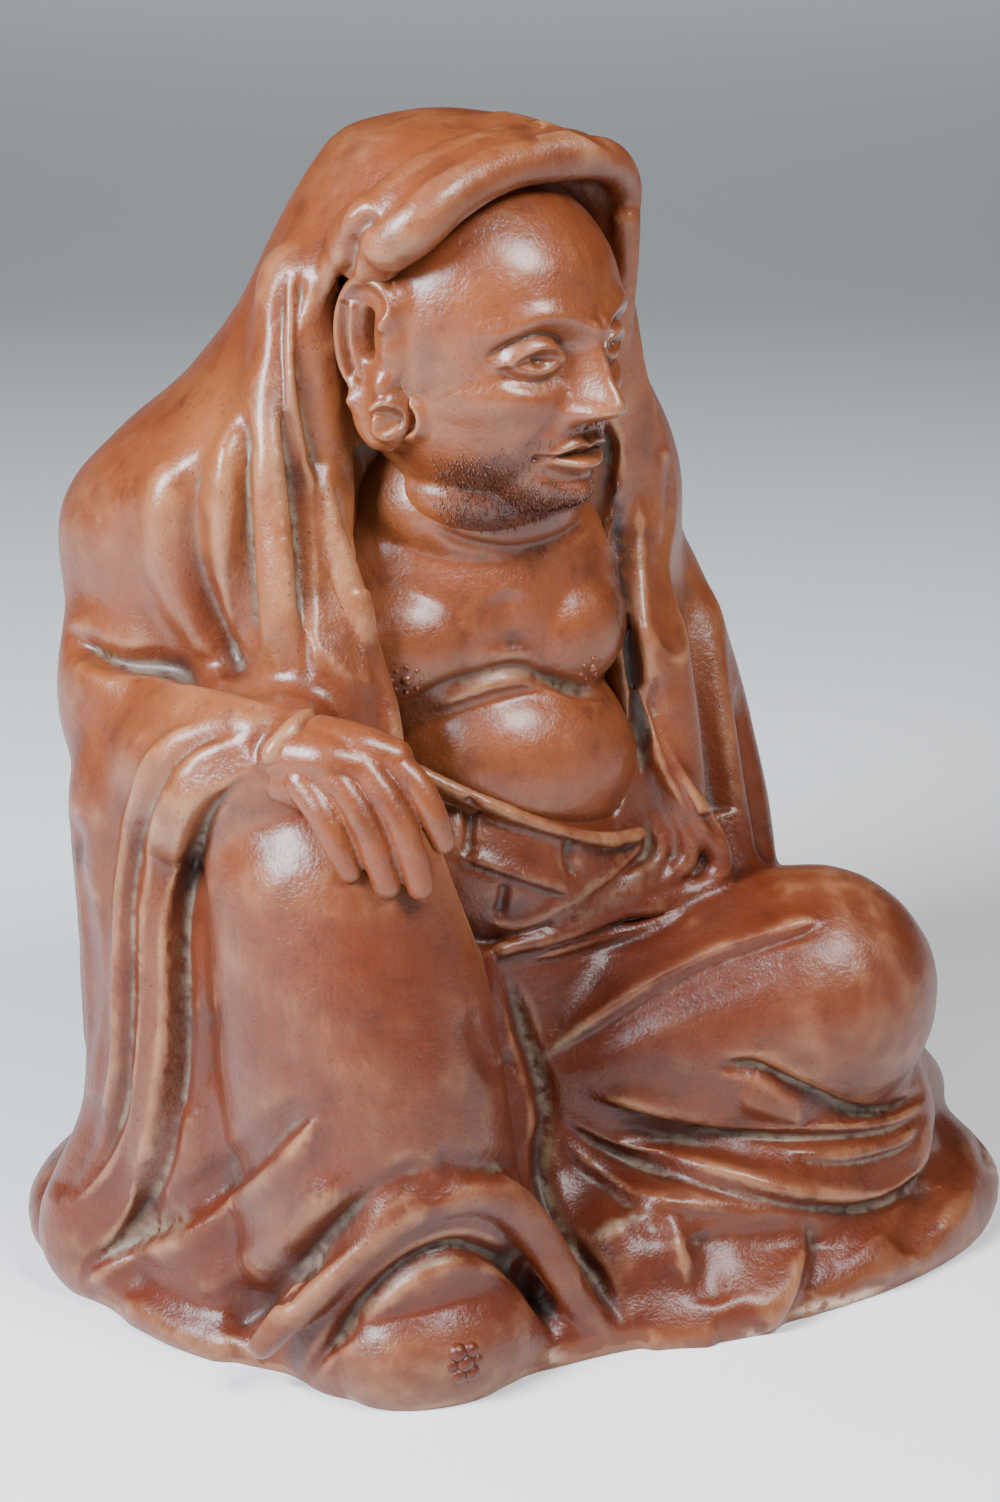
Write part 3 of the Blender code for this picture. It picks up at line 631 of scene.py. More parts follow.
# The right hand lies on the knee: paths on the sheet with how near each place is, then radii
hand = {
    "limbs": {
        "wrist": ([(246, 762, 29), (286, 754, 34.6), (330, 750, 37.8)], [6, 5.2, 4.2]),
        "back near the thumb": ([(320, 744, 37), (360, 748, 39), (394, 756, 39.6)], [4.1, 3.5, 2.7]),
        "back of the hand": ([(286, 756, 37.6), (326, 760, 40.4), (362, 768, 41)], [4.4, 3.8, 2.9]),
        "back outside": ([(268, 768, 34.6), (290, 780, 38.6), (312, 794, 40.6)], [4.3, 3.5, 2.6]),
        "first finger": (
            [(388, 756, 39.6), (416, 784, 41.3), (433, 816, 42), (443, 842, 41.6)], [2.4, 2.15, 2, 1.75],
        ),
        "second finger": ([(360, 762, 41), (389, 802, 43.2), (408, 845, 44), (421, 886, 43.6)], [2.5, 2.25, 2.15, 1.9]),
        "third finger": (
            [(330, 770, 41.8), (357, 808, 44), (375, 848, 44.8), (387, 884, 44.4)], [2.5, 2.25, 2.15, 1.9],
        ),
        "fourth finger": (
            [(302, 782, 41.6), (324, 814, 44), (339, 846, 44.8), (350, 870, 44.4)], [2.4, 2.15, 2, 1.75],
        ),
    },
    "grain": 0.36,
    "rounds": 2,
    "budget": 22000,
}


def buildHand():
    bm = bmesh.new()
    for path, radii in hand["limbs"].values():
        addLimb(bm, sheetPath(*path), radii)
    return melt(newObject("hand", bm), hand["grain"], hand["rounds"])


# Each fold: path, half width, rise, and the side that is crisp: 1 right of its way, -1 left, 0 round
robe["folds"] = {
    "hood crown": ([(470, 112), (524, 116), (572, 134), (616, 156)], 1.3, 0.8, -1),
    "loop": ([(343, 300), (348, 264), (353, 237), (363, 220), (382, 213)], 0.9, -1.7, 0),
    "loop outside": ([(334, 330), (338, 268), (343, 234), (357, 206), (384, 192)], 1.9, 0.7, 0),
    "fall groove 1": (
        [(286, 262), (280, 296), (279, 340), (283, 400), (292, 450), (299, 500), (303, 560), (307, 640), (309, 695)],
        1.1, -1.6, 0,
    ),
    "fall ridge 1": (
        [(298, 262), (290, 300), (288, 340), (292, 380), (300, 424), (307, 474), (310, 530), (313, 600), (315, 690)],
        1.0, 0.6, 0,
    ),
    "fall groove 2": ([(304, 262), (299, 296), (300, 344), (305, 400), (314, 452), (320, 490)], 1.1, -1.5, 0),
    "fall tube": ([(322, 280), (326, 350), (334, 430), (342, 520), (347, 610), (350, 700)], 3.6, 1.5, 0),
    "fall edge": ([(337, 420), (350, 500), (360, 570), (365, 640), (366, 706)], 1.2, 0.6, 0),
    "fall outer tube": ([(262, 330), (262, 430), (268, 520), (274, 600), (278, 690)], 2.9, 1.6, 0),
    "fall groove 3": ([(252, 400), (246, 460), (247, 527), (251, 600), (258, 680)], 1.35, -2.4, 0),
    "shoulder fold 1": ([(178, 440), (160, 500), (166, 560), (196, 626), (244, 682)], 2.3, 1.5, 0),
    "shoulder hollow 1": ([(206, 440), (192, 500), (200, 572), (226, 632), (252, 674)], 1.7, -1.7, 0),
    "shoulder fold 2": ([(240, 400), (224, 470), (224, 550), (238, 622), (256, 676)], 1.7, 1.2, 0),
    "shoulder hollow 2": ([(132, 480), (130, 560), (152, 612), (200, 664)], 2, -1.1, 0),
    "elbow crease": ([(64, 627), (95, 650), (124, 660), (170, 664), (228, 690)], 1.8, -2.6, 0),
    "elbow roll": ([(66, 650), (110, 676), (160, 684), (220, 700), (280, 708)], 2.6, 1.5, -1),
    "cuff": ([(318, 708), (296, 722), (276, 742), (262, 768)], 2, 1.7, 1),
    "sleeve ridge 1": (
        [(224, 716), (165, 747), (139, 800), (124, 882), (120, 982), (117, 1070), (94, 1147)], 2, 1.6, 1,
    ),
    "sleeve ridge 2": (
        [(262, 730), (200, 759), (165, 818), (150, 894), (148, 1012), (142, 1100), (116, 1165), (66, 1216)],
        1.9, 1.8, 1,
    ),
    "sleeve edge": (
        [(262, 764), (206, 798), (186, 847), (175, 924), (175, 1012), (168, 1100), (146, 1188), (84, 1282)],
        1.9, 2.6, -1,
    ),
    "sleeve groove low": ([(96, 1090), (84, 1150), (52, 1205)], 1.8, -1.2, 0),
    "sleeve back groove": ([(76, 810), (70, 870), (88, 950), (90, 1080)], 1.8, -1.6, 0),
    "leg crease": ([(214, 1000), (200, 1060), (186, 1128)], 2.2, -0.8, 0),
    "leg fold": ([(331, 1103), (277, 1165), (206, 1224), (118, 1265), (84, 1288)], 2, 1.5, 1),
    "leg fold hollow": ([(308, 1098), (256, 1150), (190, 1200), (128, 1236)], 2.4, -1.5, 0),
    "leg fold lower": ([(350, 1170), (300, 1225), (240, 1270), (190, 1304)], 3, 1.6, 0),
    "leg hollow lower": ([(382, 1190), (318, 1258), (262, 1310), (220, 1336)], 2.2, -1.8, 0),
    "arch": ([(230, 1372), (280, 1322), (336, 1268), (395, 1218), (442, 1194)], 2.9, 0.8, 0),
    "arch inside": (
        [(300, 1392), (330, 1348), (372, 1298), (420, 1262), (468, 1250), (514, 1268), (544, 1308), (556, 1352)],
        1.25, -2.6, 0,
    ),
    "arch outside": ([(236, 1330), (290, 1272), (350, 1214), (402, 1180), (444, 1166)], 1.7, -1, 0),
    "above arch": ([(428, 1158), (477, 1168), (528, 1164)], 1.8, -0.9, 0),
    "between legs": (
        [(500, 960), (522, 1023), (546, 1110), (541, 1165), (558, 1228), (596, 1280), (634, 1342)], 1.35, -2.1, 0,
    ),
    "shin crease": ([(472, 1000), (484, 1046), (500, 1070), (512, 1050)], 1.7, -0.8, 0),
    "long lap fold": ([(536, 1063), (594, 1023), (652, 986), (715, 955), (788, 931), (826, 920)], 1.35, 1.2, 1),
    "under lap fold": ([(545, 1074), (604, 1040), (665, 1004), (730, 976), (800, 950)], 2.2, -0.7, 0),
    "thin lap fold": ([(515, 963), (578, 947), (646, 928), (696, 903)], 1.3, 0.9, 1),
    "knee underside": ([(712, 1066), (756, 1072), (800, 1094), (846, 1114), (890, 1112), (928, 1090)], 1.15, -2.3, 0),
    "pocket under the knee": ([(734, 1096), (768, 1108), (808, 1116)], 1.5, 1.1, 0),
    "band 1": (
        [(584, 1094), (631, 1106), (700, 1120), (770, 1130), (840, 1129), (888, 1122), (926, 1106)], 1.5, 1.5, 1,
    ),
    "band 2": (
        [(552, 1112), (600, 1138), (662, 1162), (736, 1183), (800, 1198), (866, 1198), (904, 1177), (922, 1140),
         (930, 1110)],
        1.8, 1.9, 1,
    ),
    "band 3": ([(780, 1152), (820, 1160), (857, 1158), (893, 1146), (916, 1124)], 1, 0.9, 1),
    "band 4": ([(560, 1142), (600, 1176), (650, 1202), (740, 1216)], 1.5, 0.9, 1),
    "band hollow": ([(610, 1122), (690, 1144), (780, 1164)], 1.6, -0.9, 0),
    "under the bands": ([(600, 1196), (650, 1222), (740, 1238), (840, 1240)], 2.6, -1.3, 0),
    "hem fold front": ([(592, 1250), (620, 1226), (652, 1212), (674, 1228), (682, 1262), (686, 1300)], 2, 1.3, 0),
    "hem hollow side": ([(700, 1232), (708, 1270), (716, 1312)], 3, -1, 0),
    "hem crest": ([(800, 1218), (797, 1262), (784, 1302), (754, 1344)], 2.4, 1.5, -1),
    "hem hollow crest": ([(828, 1236), (826, 1270), (816, 1300)], 3, -0.6, 0),
    "hem swell": ([(862, 1236), (882, 1262), (888, 1286)], 3.4, 0.6, 0),
    "hem hollow right": ([(918, 1180), (916, 1220), (900, 1262)], 2.6, -1, 0),
    "hem band": ([(940, 1110), (962, 1150), (962, 1200), (930, 1246)], 2.4, 1.1, 0),
    "hem tip": ([(948, 1066), (968, 1100), (978, 1140), (992, 1180)], 1.2, -1.3, 0),
    "hem scallop 1": ([(640, 1352), (680, 1340), (720, 1350)], 2.4, 1.2, 0),
    "hem scallop 2": ([(120, 1300), (180, 1335), (245, 1362)], 2.4, 1.4, 0),
    "lapel gap": ([(620, 490), (618, 530), (620, 580), (628, 655), (637, 717), (644, 790)], 1.6, -2.6, 0),
    "lapel edge": ([(637, 490), (635, 540), (637, 600), (643, 660), (651, 706)], 1.5, 1.3, 1),
    "lapel edge light": ([(664, 440), (657, 480), (655, 550)], 0.8, 0.7, 0),
    "lapel inside groove": ([(652, 660), (657, 720), (676, 778), (702, 832)], 0.8, -0.9, 0),
    "side hollow": ([(686, 550), (692, 640), (701, 720), (712, 800), (722, 856)], 2.1, -1.8, 0),
    "side strip": ([(708, 560), (716, 660), (727, 750), (739, 856)], 1.6, 1.1, 0),
    "side groove": ([(736, 680), (748, 750), (760, 820), (768, 872)], 1.1, -1.8, 0),
    "side edge": ([(752, 700), (768, 780), (783, 866)], 1.4, 0.8, 0),
    "wrap edge": ([(640, 826), (632, 850), (604, 878), (566, 903), (520, 923), (478, 921)], 1, 1, 0),
    "sash line upper": ([(446, 786), (525, 823), (594, 842), (631, 845)], 0.8, 0.7, 1),
    "sash line lower": ([(456, 855), (515, 876), (578, 897)], 0.9, 0.9, 1),
    "sash cut 1": ([(471, 790), (470, 824), (468, 862)], 0.8, -1.2, 0),
    "sash cut 2": ([(506, 882), (503, 900), (498, 920)], 0.8, -1.1, 0),
    "sash cut 3": ([(570, 838), (569, 862), (578, 880)], 0.75, -1, 0),
}
robe["foldsAround"] = {
    "back 1": ([(150, 140), (142, 118), (130, 84), (122, 48), (114, 18)], 5.5, 2.4, 0),
    "back 2": ([(182, 138), (178, 112), (171, 76), (167, 40), (160, 14)], 5, 2, 0),
    "back 3": ([(208, 138), (214, 116), (222, 84), (226, 48), (230, 16)], 5.5, 2.4, 0),
    "back 4": ([(98, 100), (101, 68), (98, 40), (90, 16)], 4.6, 2.2, 0),
    "back 5": ([(244, 104), (247, 74), (250, 44), (252, 16)], 4.6, 2.2, 0),
    "back groove 1": ([(162, 112), (156, 66), (148, 24)], 4.6, -2.2, 0),
    "back groove 2": ([(196, 112), (198, 70), (200, 24)], 4.6, -2.2, 0),
    "back groove 3": ([(116, 96), (114, 60), (106, 24)], 4.6, -2, 0),
    "back groove 4": ([(236, 96), (238, 60), (242, 24)], 4.6, -2, 0),
    "left side hem": ([(66, 30), (76, 20), (84, 8)], 3.6, 2, 0),
}
body["strokes"] = {
    "under breast": (
        [(379, 711), (411, 704), (453, 685), (495, 672), (521, 669), (547, 680), (584, 693), (618, 698)], 1.1, -1.2, 0,
    ),
    "under breast roll": ([(420, 712), (458, 695), (498, 682), (521, 679), (545, 689), (580, 702)], 0.9, 0.6, 0),
    "neck crease": ([(426, 520), (466, 541), (516, 548), (566, 535), (600, 506)], 0.8, -0.8, 0),
    "breast bone": ([(506, 585), (512, 625), (513, 655)], 2.4, -0.9, 0),
}


def profileOf(signed, crisp):  # signed is in half widths, above 0 on the crisp side
    if not crisp:
        return np.exp(-(signed**2))
    steep = np.where(signed > 0, np.exp(-((signed * 2.2) ** 2)), np.exp(-((signed * 0.6) ** 2)))
    return steep - 0.35 * np.exp(-(((signed - 1.0) * 1.9) ** 2))


def nearestOn(places, path):
    nearest = np.empty(len(places), int)
    for start in range(0, len(places), 20000):
        gap = places[start : start + 20000, None, :] - path[None, :, :]
        nearest[start : start + 20000] = (gap * gap).sum(axis=2).argmin(axis=1)
    return nearest


def tapered(nearest, count):  # strokes run out at both ends
    share = nearest / (count - 1)
    taper = np.clip(np.minimum(share, 1 - share) / 0.2, 0, 1)
    return taper * taper * (3 - 2 * taper)


def sheetPlaces(points):  # where points are on the sheet, and how far off, in steps
    back, right, up = (np.array(v) for v in sheetDirections())
    offset = points / step - np.array(sheet["aim"]) - back * sheet["distance"]
    away = -(offset @ back)
    x = sheet["middle"][0] + sheet["reach"] * (offset @ right) / away
    y = sheet["middle"][1] - sheet["reach"] * (offset @ up) / away
    return np.stack([x, y], axis=1), away


def sheetRise(points, normals, tree, strokes):
    places, away = sheetPlaces(points)
    back, eye = sheetDirections()[0], sheetEye()
    facing = np.clip((normals @ np.array(back) - 0.04) / 0.3, 0, 1)
    rise = np.zeros(len(points))
    for path, width, out, crisp in strokes.values():
        line = spline(path, 20 * len(path))
        hits = [tree.ray_cast(*ray)[0] for ray in sheetRays(line)]
        seen = np.array([(eye - hit).dot(back) / step if hit else np.nan for hit in hits])
        if np.isnan(seen).all():
            continue
        seen = np.interp(np.arange(len(seen)), np.nonzero(~np.isnan(seen))[0], seen[~np.isnan(seen)])
        reach = (3.6 if crisp else 2.4) * width * sheet["reach"] / seen.min()
        inside = np.all((places > line.min(axis=0) - reach) & (places < line.max(axis=0) + reach), axis=1)
        near = np.nonzero(inside & (facing > 0))[0]
        nearest = nearestOn(places[near], line)
        offset = places[near] - line[nearest]
        tangent = np.gradient(line, axis=0)[nearest]
        side = np.sign(tangent[:, 0] * offset[:, 1] - tangent[:, 1] * offset[:, 0])
        taper = tapered(nearest, len(line))
        scale = away[near] / sheet["reach"] / (width * (0.5 + 0.5 * taper))
        signed = np.linalg.norm(offset, axis=1) * scale * side * (crisp or 1)
        depth = np.clip((8 - np.abs(away[near] - seen[nearest])) / 2, 0, 1)
        rise[near] += out * taper * depth * facing[near] * profileOf(signed, crisp)
    return rise


def roundRise(points, normals, tree, strokes):
    rise = np.zeros(len(points))
    for path, width, out, crisp in strokes.values():
        hits = [tree.ray_cast(*ray)[:2] for ray in roundRays(spline(path, 16 * len(path)))]
        hits = [hit for hit in hits if hit[0] is not None]
        line, facing = np.array([h[0] for h in hits]), np.array([h[1] for h in hits])
        reach = 3 * width * step
        near = np.nonzero(np.all((points > line.min(axis=0) - reach) & (points < line.max(axis=0) + reach), axis=1))[0]
        nearest = nearestOn(points[near], line)
        offset = points[near] - line[nearest]
        tangent = np.gradient(line, axis=0)[nearest]
        side = np.sign((np.cross(tangent, facing[nearest]) * offset).sum(axis=1))
        taper = tapered(nearest, len(line))
        scale = 1 / (width * step * (0.5 + 0.5 * taper))
        signed = np.linalg.norm(offset, axis=1) * scale * side * (crisp or 1)
        agree = np.clip(((normals[near] * facing[nearest]).sum(axis=1) + 0.1) / 0.5, 0, 1)
        rise[near] += out * taper * agree * profileOf(signed, crisp)
    return rise


def carve(obj, settings, groups):
    points, normals = vertexArrays(obj.data)
    tree = rayTree(obj.data)
    rise = sum(riseOf(points, normals, tree, strokes) for strokes, riseOf in groups)
    points += normals * (np.clip(rise, -settings["deepest"], settings["deepest"]) * step)[:, None]
    moveVertices(obj.data, points)
    soften(obj, settings["foldRounds"])


unevenness = ((110, 0.17), (340, 0.05))  # waves per metre, rise in steps


def waver(obj):  # surfaces left slightly uneven by hand
    points, normals = vertexArrays(obj.data)
    lift = np.zeros(len(points))
    for waves, rise in unevenness:
        lift += rise * np.array([noise.noise(Vector(p) * waves) for p in points])
    points += normals * (lift * step)[:, None]
    moveVertices(obj.data, points)


def thin(obj, budget):
    obj.data.calc_loop_triangles()
    count = len(obj.data.loop_triangles)
    if count > budget:
        modified(obj, "DECIMATE", {"ratio": budget / count})


def cutFlat(obj):
    bm = bmesh.new()
    bm.from_mesh(obj.data)
    everything = bm.verts[:] + bm.edges[:] + bm.faces[:]
    made = bmesh.ops.bisect_plane(bm, geom=everything, plane_co=(0, 0, 0), plane_no=(0, 0, 1), clear_inner=True)
    rim = [g for g in made["geom_cut"] if isinstance(g, bmesh.types.BMEdge)]
    filled = bmesh.ops.holes_fill(bm, edges=rim)
    bmesh.ops.triangulate(bm, faces=filled["faces"])
    bm.to_mesh(obj.data)
    bm.free()


# Fired clay: colours as red, green, blue in linear light
clay = {
    # low and high: the robe painted darker below and lighter above, a painted shade below and painted light on top
    "low": (0.085, 0.0145, 0.0046, 1),
    "high": (0.142, 0.032, 0.0095, 1),
    "flesh": (0.155, 0.0365, 0.0105, 1),
    # light: lighter clay in random patches, and also the painted light on broad bulges
    "light": (0.26, 0.088, 0.028, 1),
    "tan": (0.21, 0.078, 0.026, 1),
    "dark": (0.045, 0.0095, 0.005, 1),
    # hollow: painted shade in hollows and creases
    "hollow": (0.022, 0.009, 0.006, 1),
    # Lighter fine ridges: wear, and partly a painted highlight
    "ridgeWearAndHighlight": (0.4, 0.19, 0.09, 1),
    "dust": (0.2, 0.155, 0.1, 1),
    "chip": (0.5, 0.34, 0.22, 1),
    # Painted shade, near black, for gaps, grooves and the underside of the chin
    "soot": (0.013, 0.0075, 0.009, 1),
    "speck": (0.01, 0.0065, 0.005, 1),
    # Heights where the painted shade below fades into the painted light above
    "paintedShadeBelow": 0.035,
    "paintedLightAbove": 0.115,
    "roughness": 0.4,
    "specular": 0.36,
    "coat": 0.3,
    "coatRoughness": 0.24,
    "bump": 0.6,
}


def clayMaterial():
    material = bpy.data.materials.new("fired clay")
    material.use_nodes = True
    shader = material.node_tree.nodes["Principled BSDF"]
    graph = Graph(material.node_tree)
    place = graph.node("ShaderNodeTexCoord", output="Object")

    def painted(name):
        return graph.node("ShaderNodeAttribute", {"attribute_name": name}, output="Fac")

    def clouds(scale, detail, roughness=0.55):
        values = {"Vector": place, "Scale": scale, "Detail": detail, "Roughness": roughness}
        return graph.node("ShaderNodeTexNoise", {}, values)

    fine, wide, flesh = painted("fine"), painted("wide"), painted("flesh")
    broad, middling, small, grain = clouds(26, 4), clouds(90, 5), clouds(420, 4), clouds(1900, 3)
    mottled = clouds(210, 6, 0.72)
    height = graph.node("ShaderNodeSeparateXYZ", {}, {"Vector": place}, output="Z")
    # The robe is painted darker towards the bottom and lighter higher up: painted shade below, painted light above
    upper = (height + (middling - 0.5) * 0.05).span(clay["paintedShadeBelow"], clay["paintedLightAbove"])
    colour = graph.mix(upper, clay["low"], clay["high"])
    colour = graph.mix(flesh, colour, clay["flesh"])
    # Lighter patches, stronger higher up: partly painted light on the upper robe
    colour = graph.mix(broad.span(0.45, 0.7) * (0.12 + upper * 0.4), colour, clay["light"])
    colour = graph.mix(middling.span(0.5, 0.75) * 0.55, colour, clay["dark"])
    colour = graph.mix(mottled.span(0.52, 0.7) * (0.1 + flesh * 0.3), colour, clay["tan"])
    colour = graph.mix((1 - mottled).span(0.52, 0.7) * 0.45, colour, clay["dark"])
    # Broad raised forms painted lighter: painted light where light falls on the bulges
    colour = graph.mix((0 - wide).span(0.25, 1.6) * 0.22, colour, clay["light"])
    # Painted shade: deep hollows and fine creases are darkened where shade falls
    deep = wide.span(0.2, 1.6)
    colour = graph.mix(deep * 0.62, colour, clay["hollow"])
    crease = fine.span(0.06, 0.32)
    colour = graph.mix(crease * (0.52 - flesh * 0.2), colour, clay["hollow"])
    # Fine ridges painted lighter: wear, and partly a painted highlight
    ridgeWearAndHighlight = (0 - fine).span(0.05, 0.22) * middling.span(0.35, 0.6)
    colour = graph.mix(ridgeWearAndHighlight * 0.4, colour, clay["ridgeWearAndHighlight"])
    colour = graph.mix(painted("beard") * (0.25 + small * 0.35), colour, clay["dark"])
    dust = fine.span(0.12, 0.3) * broad.span(0.36, 0.6) * 0.7 + painted("deposit")
    dust = dust * small.span(0.34, 0.6)
    colour = graph.mix(dust * (0.8 - flesh * 0.3), colour, clay["dust"])
    # Painted shade: gaps, grooves and the underside of the chin darkened
    colour = graph.mix(painted("soot") * small.span(0.3, 0.55), colour, clay["soot"])
    colour = graph.mix(painted("chip") * small.span(0.36, 0.5), colour, clay["chip"])
    specks = grain.span(0.66, 0.71) * broad.span(0.4, 0.6)
    colour = graph.mix(specks * 0.6, colour, clay["speck"])
    graph.feed(colour, shader.inputs["Base Color"])
    rough = clay["roughness"] - 0.16 + middling * 0.14 + mottled * 0.12 + dust * 0.3 + deep * 0.15
    graph.feed(rough, shader.inputs["Roughness"])
    coat = (flesh * 0.2 + clay["coat"]) * (1 - dust) * (broad.span(0.3, 0.6) * 0.5 + upper * 0.5)
    graph.feed(coat, shader.inputs["Coat Weight"])
    shader.inputs["Specular IOR Level"].default_value = clay["specular"]
    shader.inputs["Coat Roughness"].default_value = clay["coatRoughness"]
    relief = small * 0.6 + grain * 0.25 + middling * 0.6 - specks * 0.6
    values = {"Strength": clay["bump"], "Distance": 0.0006, "Height": relief}
    graph.feed(graph.node("ShaderNodeBump", {}, values), shader.inputs["Normal"])
    return material


firedClay = clayMaterial()
robeMesh, bodyMesh = buildRobe(), buildBody()
print("robe and body", len(robeMesh.data.polygons), len(bodyMesh.data.polygons))
headMesh, handMesh = buildHead(), buildHand()
print("head and hand", len(headMesh.data.polygons), len(handMesh.data.polygons))
carve(robeMesh, robe, [(robe["folds"], sheetRise), (robe["foldsAround"], roundRise)])
carve(bodyMesh, body, [(body["strokes"], sheetRise)])
print("folds carved")
shells = ((robeMesh, robe, 0), (bodyMesh, body, 1), (headMesh, head, 1), (handMesh, hand, 1))
for obj, settings, _ in shells:
    thin(obj, settings["budget"])
for obj in (robeMesh, bodyMesh, handMesh):
    waver(obj)
cutFlat(robeMesh)
print("thinned")


def smoothed(points, edges, rounds):  # the shape with its small forms evened out
    n = len(points)
    a, b = edges[:, 0], edges[:, 1]
    count = np.maximum(np.bincount(a, minlength=n) + np.bincount(b, minlength=n), 1)[:, None]
    p = points.copy()
    for _ in range(rounds):
        total = np.empty_like(p)
        for k in range(3):
            total[:, k] = np.bincount(a, p[b, k], n) + np.bincount(b, p[a, k], n)
        p = 0.5 * p + 0.5 * total / count
    return p


def markHollows(obj):  # how far each point lies under its smoothed surroundings, in steps
    mesh = obj.data
    points, normals = vertexArrays(mesh)
    edges = np.empty(len(mesh.edges) * 2, int)
    mesh.edges.foreach_get("vertices", edges)
    edges = edges.reshape(-1, 2)
    for name, rounds in (("fine", 8), ("wide", 70)):
        depth = ((smoothed(points, edges, rounds) - points) * normals).sum(axis=1) / step
        if name == "wide":
            depth = smoothed(np.repeat(depth[:, None], 3, axis=1), edges, 3)[:, 0]
        addLayer(mesh, name, depth)


# Deposits, chips and painted shade in gaps, laid on as the folds are: path, half width, strength
paint = {
    "deposit": {
        "between legs": (
            [(498, 955), (516, 1000), (540, 1078), (548, 1134), (546, 1188), (568, 1240), (600, 1292), (630, 1340)],
            0.75, 0.75,
        ),
        "lap fold": ([(533, 1068), (560, 1046), (604, 1016)], 0.7, 0.8),
        "wrap edge": ([(637, 842), (604, 876), (560, 912), (520, 930)], 0.7, 0.5),
        "lapel fold": ([(640, 830), (650, 868), (600, 905), (540, 935)], 1.4, 0.3),
        "under the breast": ([(420, 708), (463, 685), (510, 670), (560, 684), (610, 700)], 0.8, 0.8),
        "fold over the hem": ([(588, 1244), (620, 1224), (655, 1212)], 0.7, 0.8),
        "leg groove": ([(178, 900), (182, 1000), (170, 1110), (130, 1230)], 0.9, 0.3),
        "hem at the front": ([(96, 1262), (150, 1234), (200, 1216)], 2.0, 0.6),
        "arch": ([(322, 1372), (360, 1318), (412, 1272), (468, 1254)], 0.7, 0.5),
    },
    "chip": {
        "hem edge": ([(786, 1318), (820, 1308), (852, 1302), (884, 1288)], 0.7, 1),
        "hem corner": ([(744, 1340), (760, 1336)], 0.8, 0.7),
        "hem tip": ([(986, 1150), (992, 1180)], 0.8, 0.6),
        "by the foot": ([(548, 1352), (556, 1366)], 0.8, 0.6),
    },
    # Painted shade in the lapel gap, under the chin and in other grooves
    "soot": {
        "breast bone": ([(508, 625), (516, 645), (520, 660)], 2.2, 0.6),
        "lapel gap": ([(618, 480), (618, 560), (628, 655), (642, 770)], 1.3, 0.9),
        "under the chin": ([(606, 470), (622, 510)], 1.6, 0.7),
        "sleeve side": ([(78, 840), (84, 870)], 2.0, 0.7),
        "waist": ([(480, 905), (530, 912)], 1.8, 0.5),
    },
}


def addPaint(obj):
    points, normals = vertexArrays(obj.data)
    tree = rayTree(obj.data)
    for name, marks in paint.items():
        strokes = {mark: (path, width, strength, 0) for mark, (path, width, strength) in marks.items()}
        addLayer(obj.data, name, sheetRise(points, normals, tree, strokes))


def beardOn(obj):  # short stubble on jaw, chin and upper lip
    points, normals = vertexArrays(obj.data)
    offset = points / step - head["middle"]
    across, forward = headAxes()
    side, front, up = np.abs(offset @ across), offset @ forward, offset[:, 2]
    low = np.clip((-9.5 - 0.28 * side - up) / 3, 0, 1) * np.clip((front - 3) / 4, 0, 1) * np.clip((up + 27) / 3, 0, 1)
    mouth = np.clip(2.2 - np.hypot(side / 5.6, (up + 15) / 2.3), 0, 1)
    return low * (1 - mouth)


for obj, _, flesh in shells:
    markHollows(obj)
    addPaint(obj)
    count = len(obj.data.vertices)
    addLayer(obj.data, "flesh", np.full(count, flesh))
    addLayer(obj.data, "beard", beardOn(obj) if obj is headMesh else np.zeros(count))
print("hollows and deposits marked")


def newTree(name, sockets):  # a node group with named inputs
    tree = bpy.data.node_groups.new(name, "GeometryNodeTree")
    for socket, kind in sockets.items():
        tree.interface.new_socket(socket, in_out="INPUT", socket_type="NodeSocket" + kind)
    tree.interface.new_socket("Made", in_out="OUTPUT", socket_type="NodeSocketGeometry")
    graph = Graph(tree)
    given = graph.node("NodeGroupInput")
    return graph, {socket: given.other(socket) for socket in sockets}


def closeTree(graph, geometry, material):  # real geometry with its material, as the export needs
    real = graph.node("GeometryNodeRealizeInstances", {}, {0: geometry})
    dressed = graph.node("GeometryNodeSetMaterial", {}, {"Geometry": real, "Material": material})
    graph.node("NodeGroupOutput", {}, {0: dressed})
    return graph.tree


def grown(obj, tree, values):  # runs a node group on an object and keeps the mesh it makes
    modifier = obj.modifiers.new(tree.name, "NODES")
    modifier.node_group = tree
    for item in tree.interface.items_tree:
        if item.in_out == "INPUT" and item.name in values:
            modifier[item.identifier] = values[item.name]
    return applied(obj)


stubble = {"Density": 5.5e6, "Length": 0.0009, "Thickness": 0.0001, "Lift": 0.22, "Seed": 4, "Clay": firedClay}


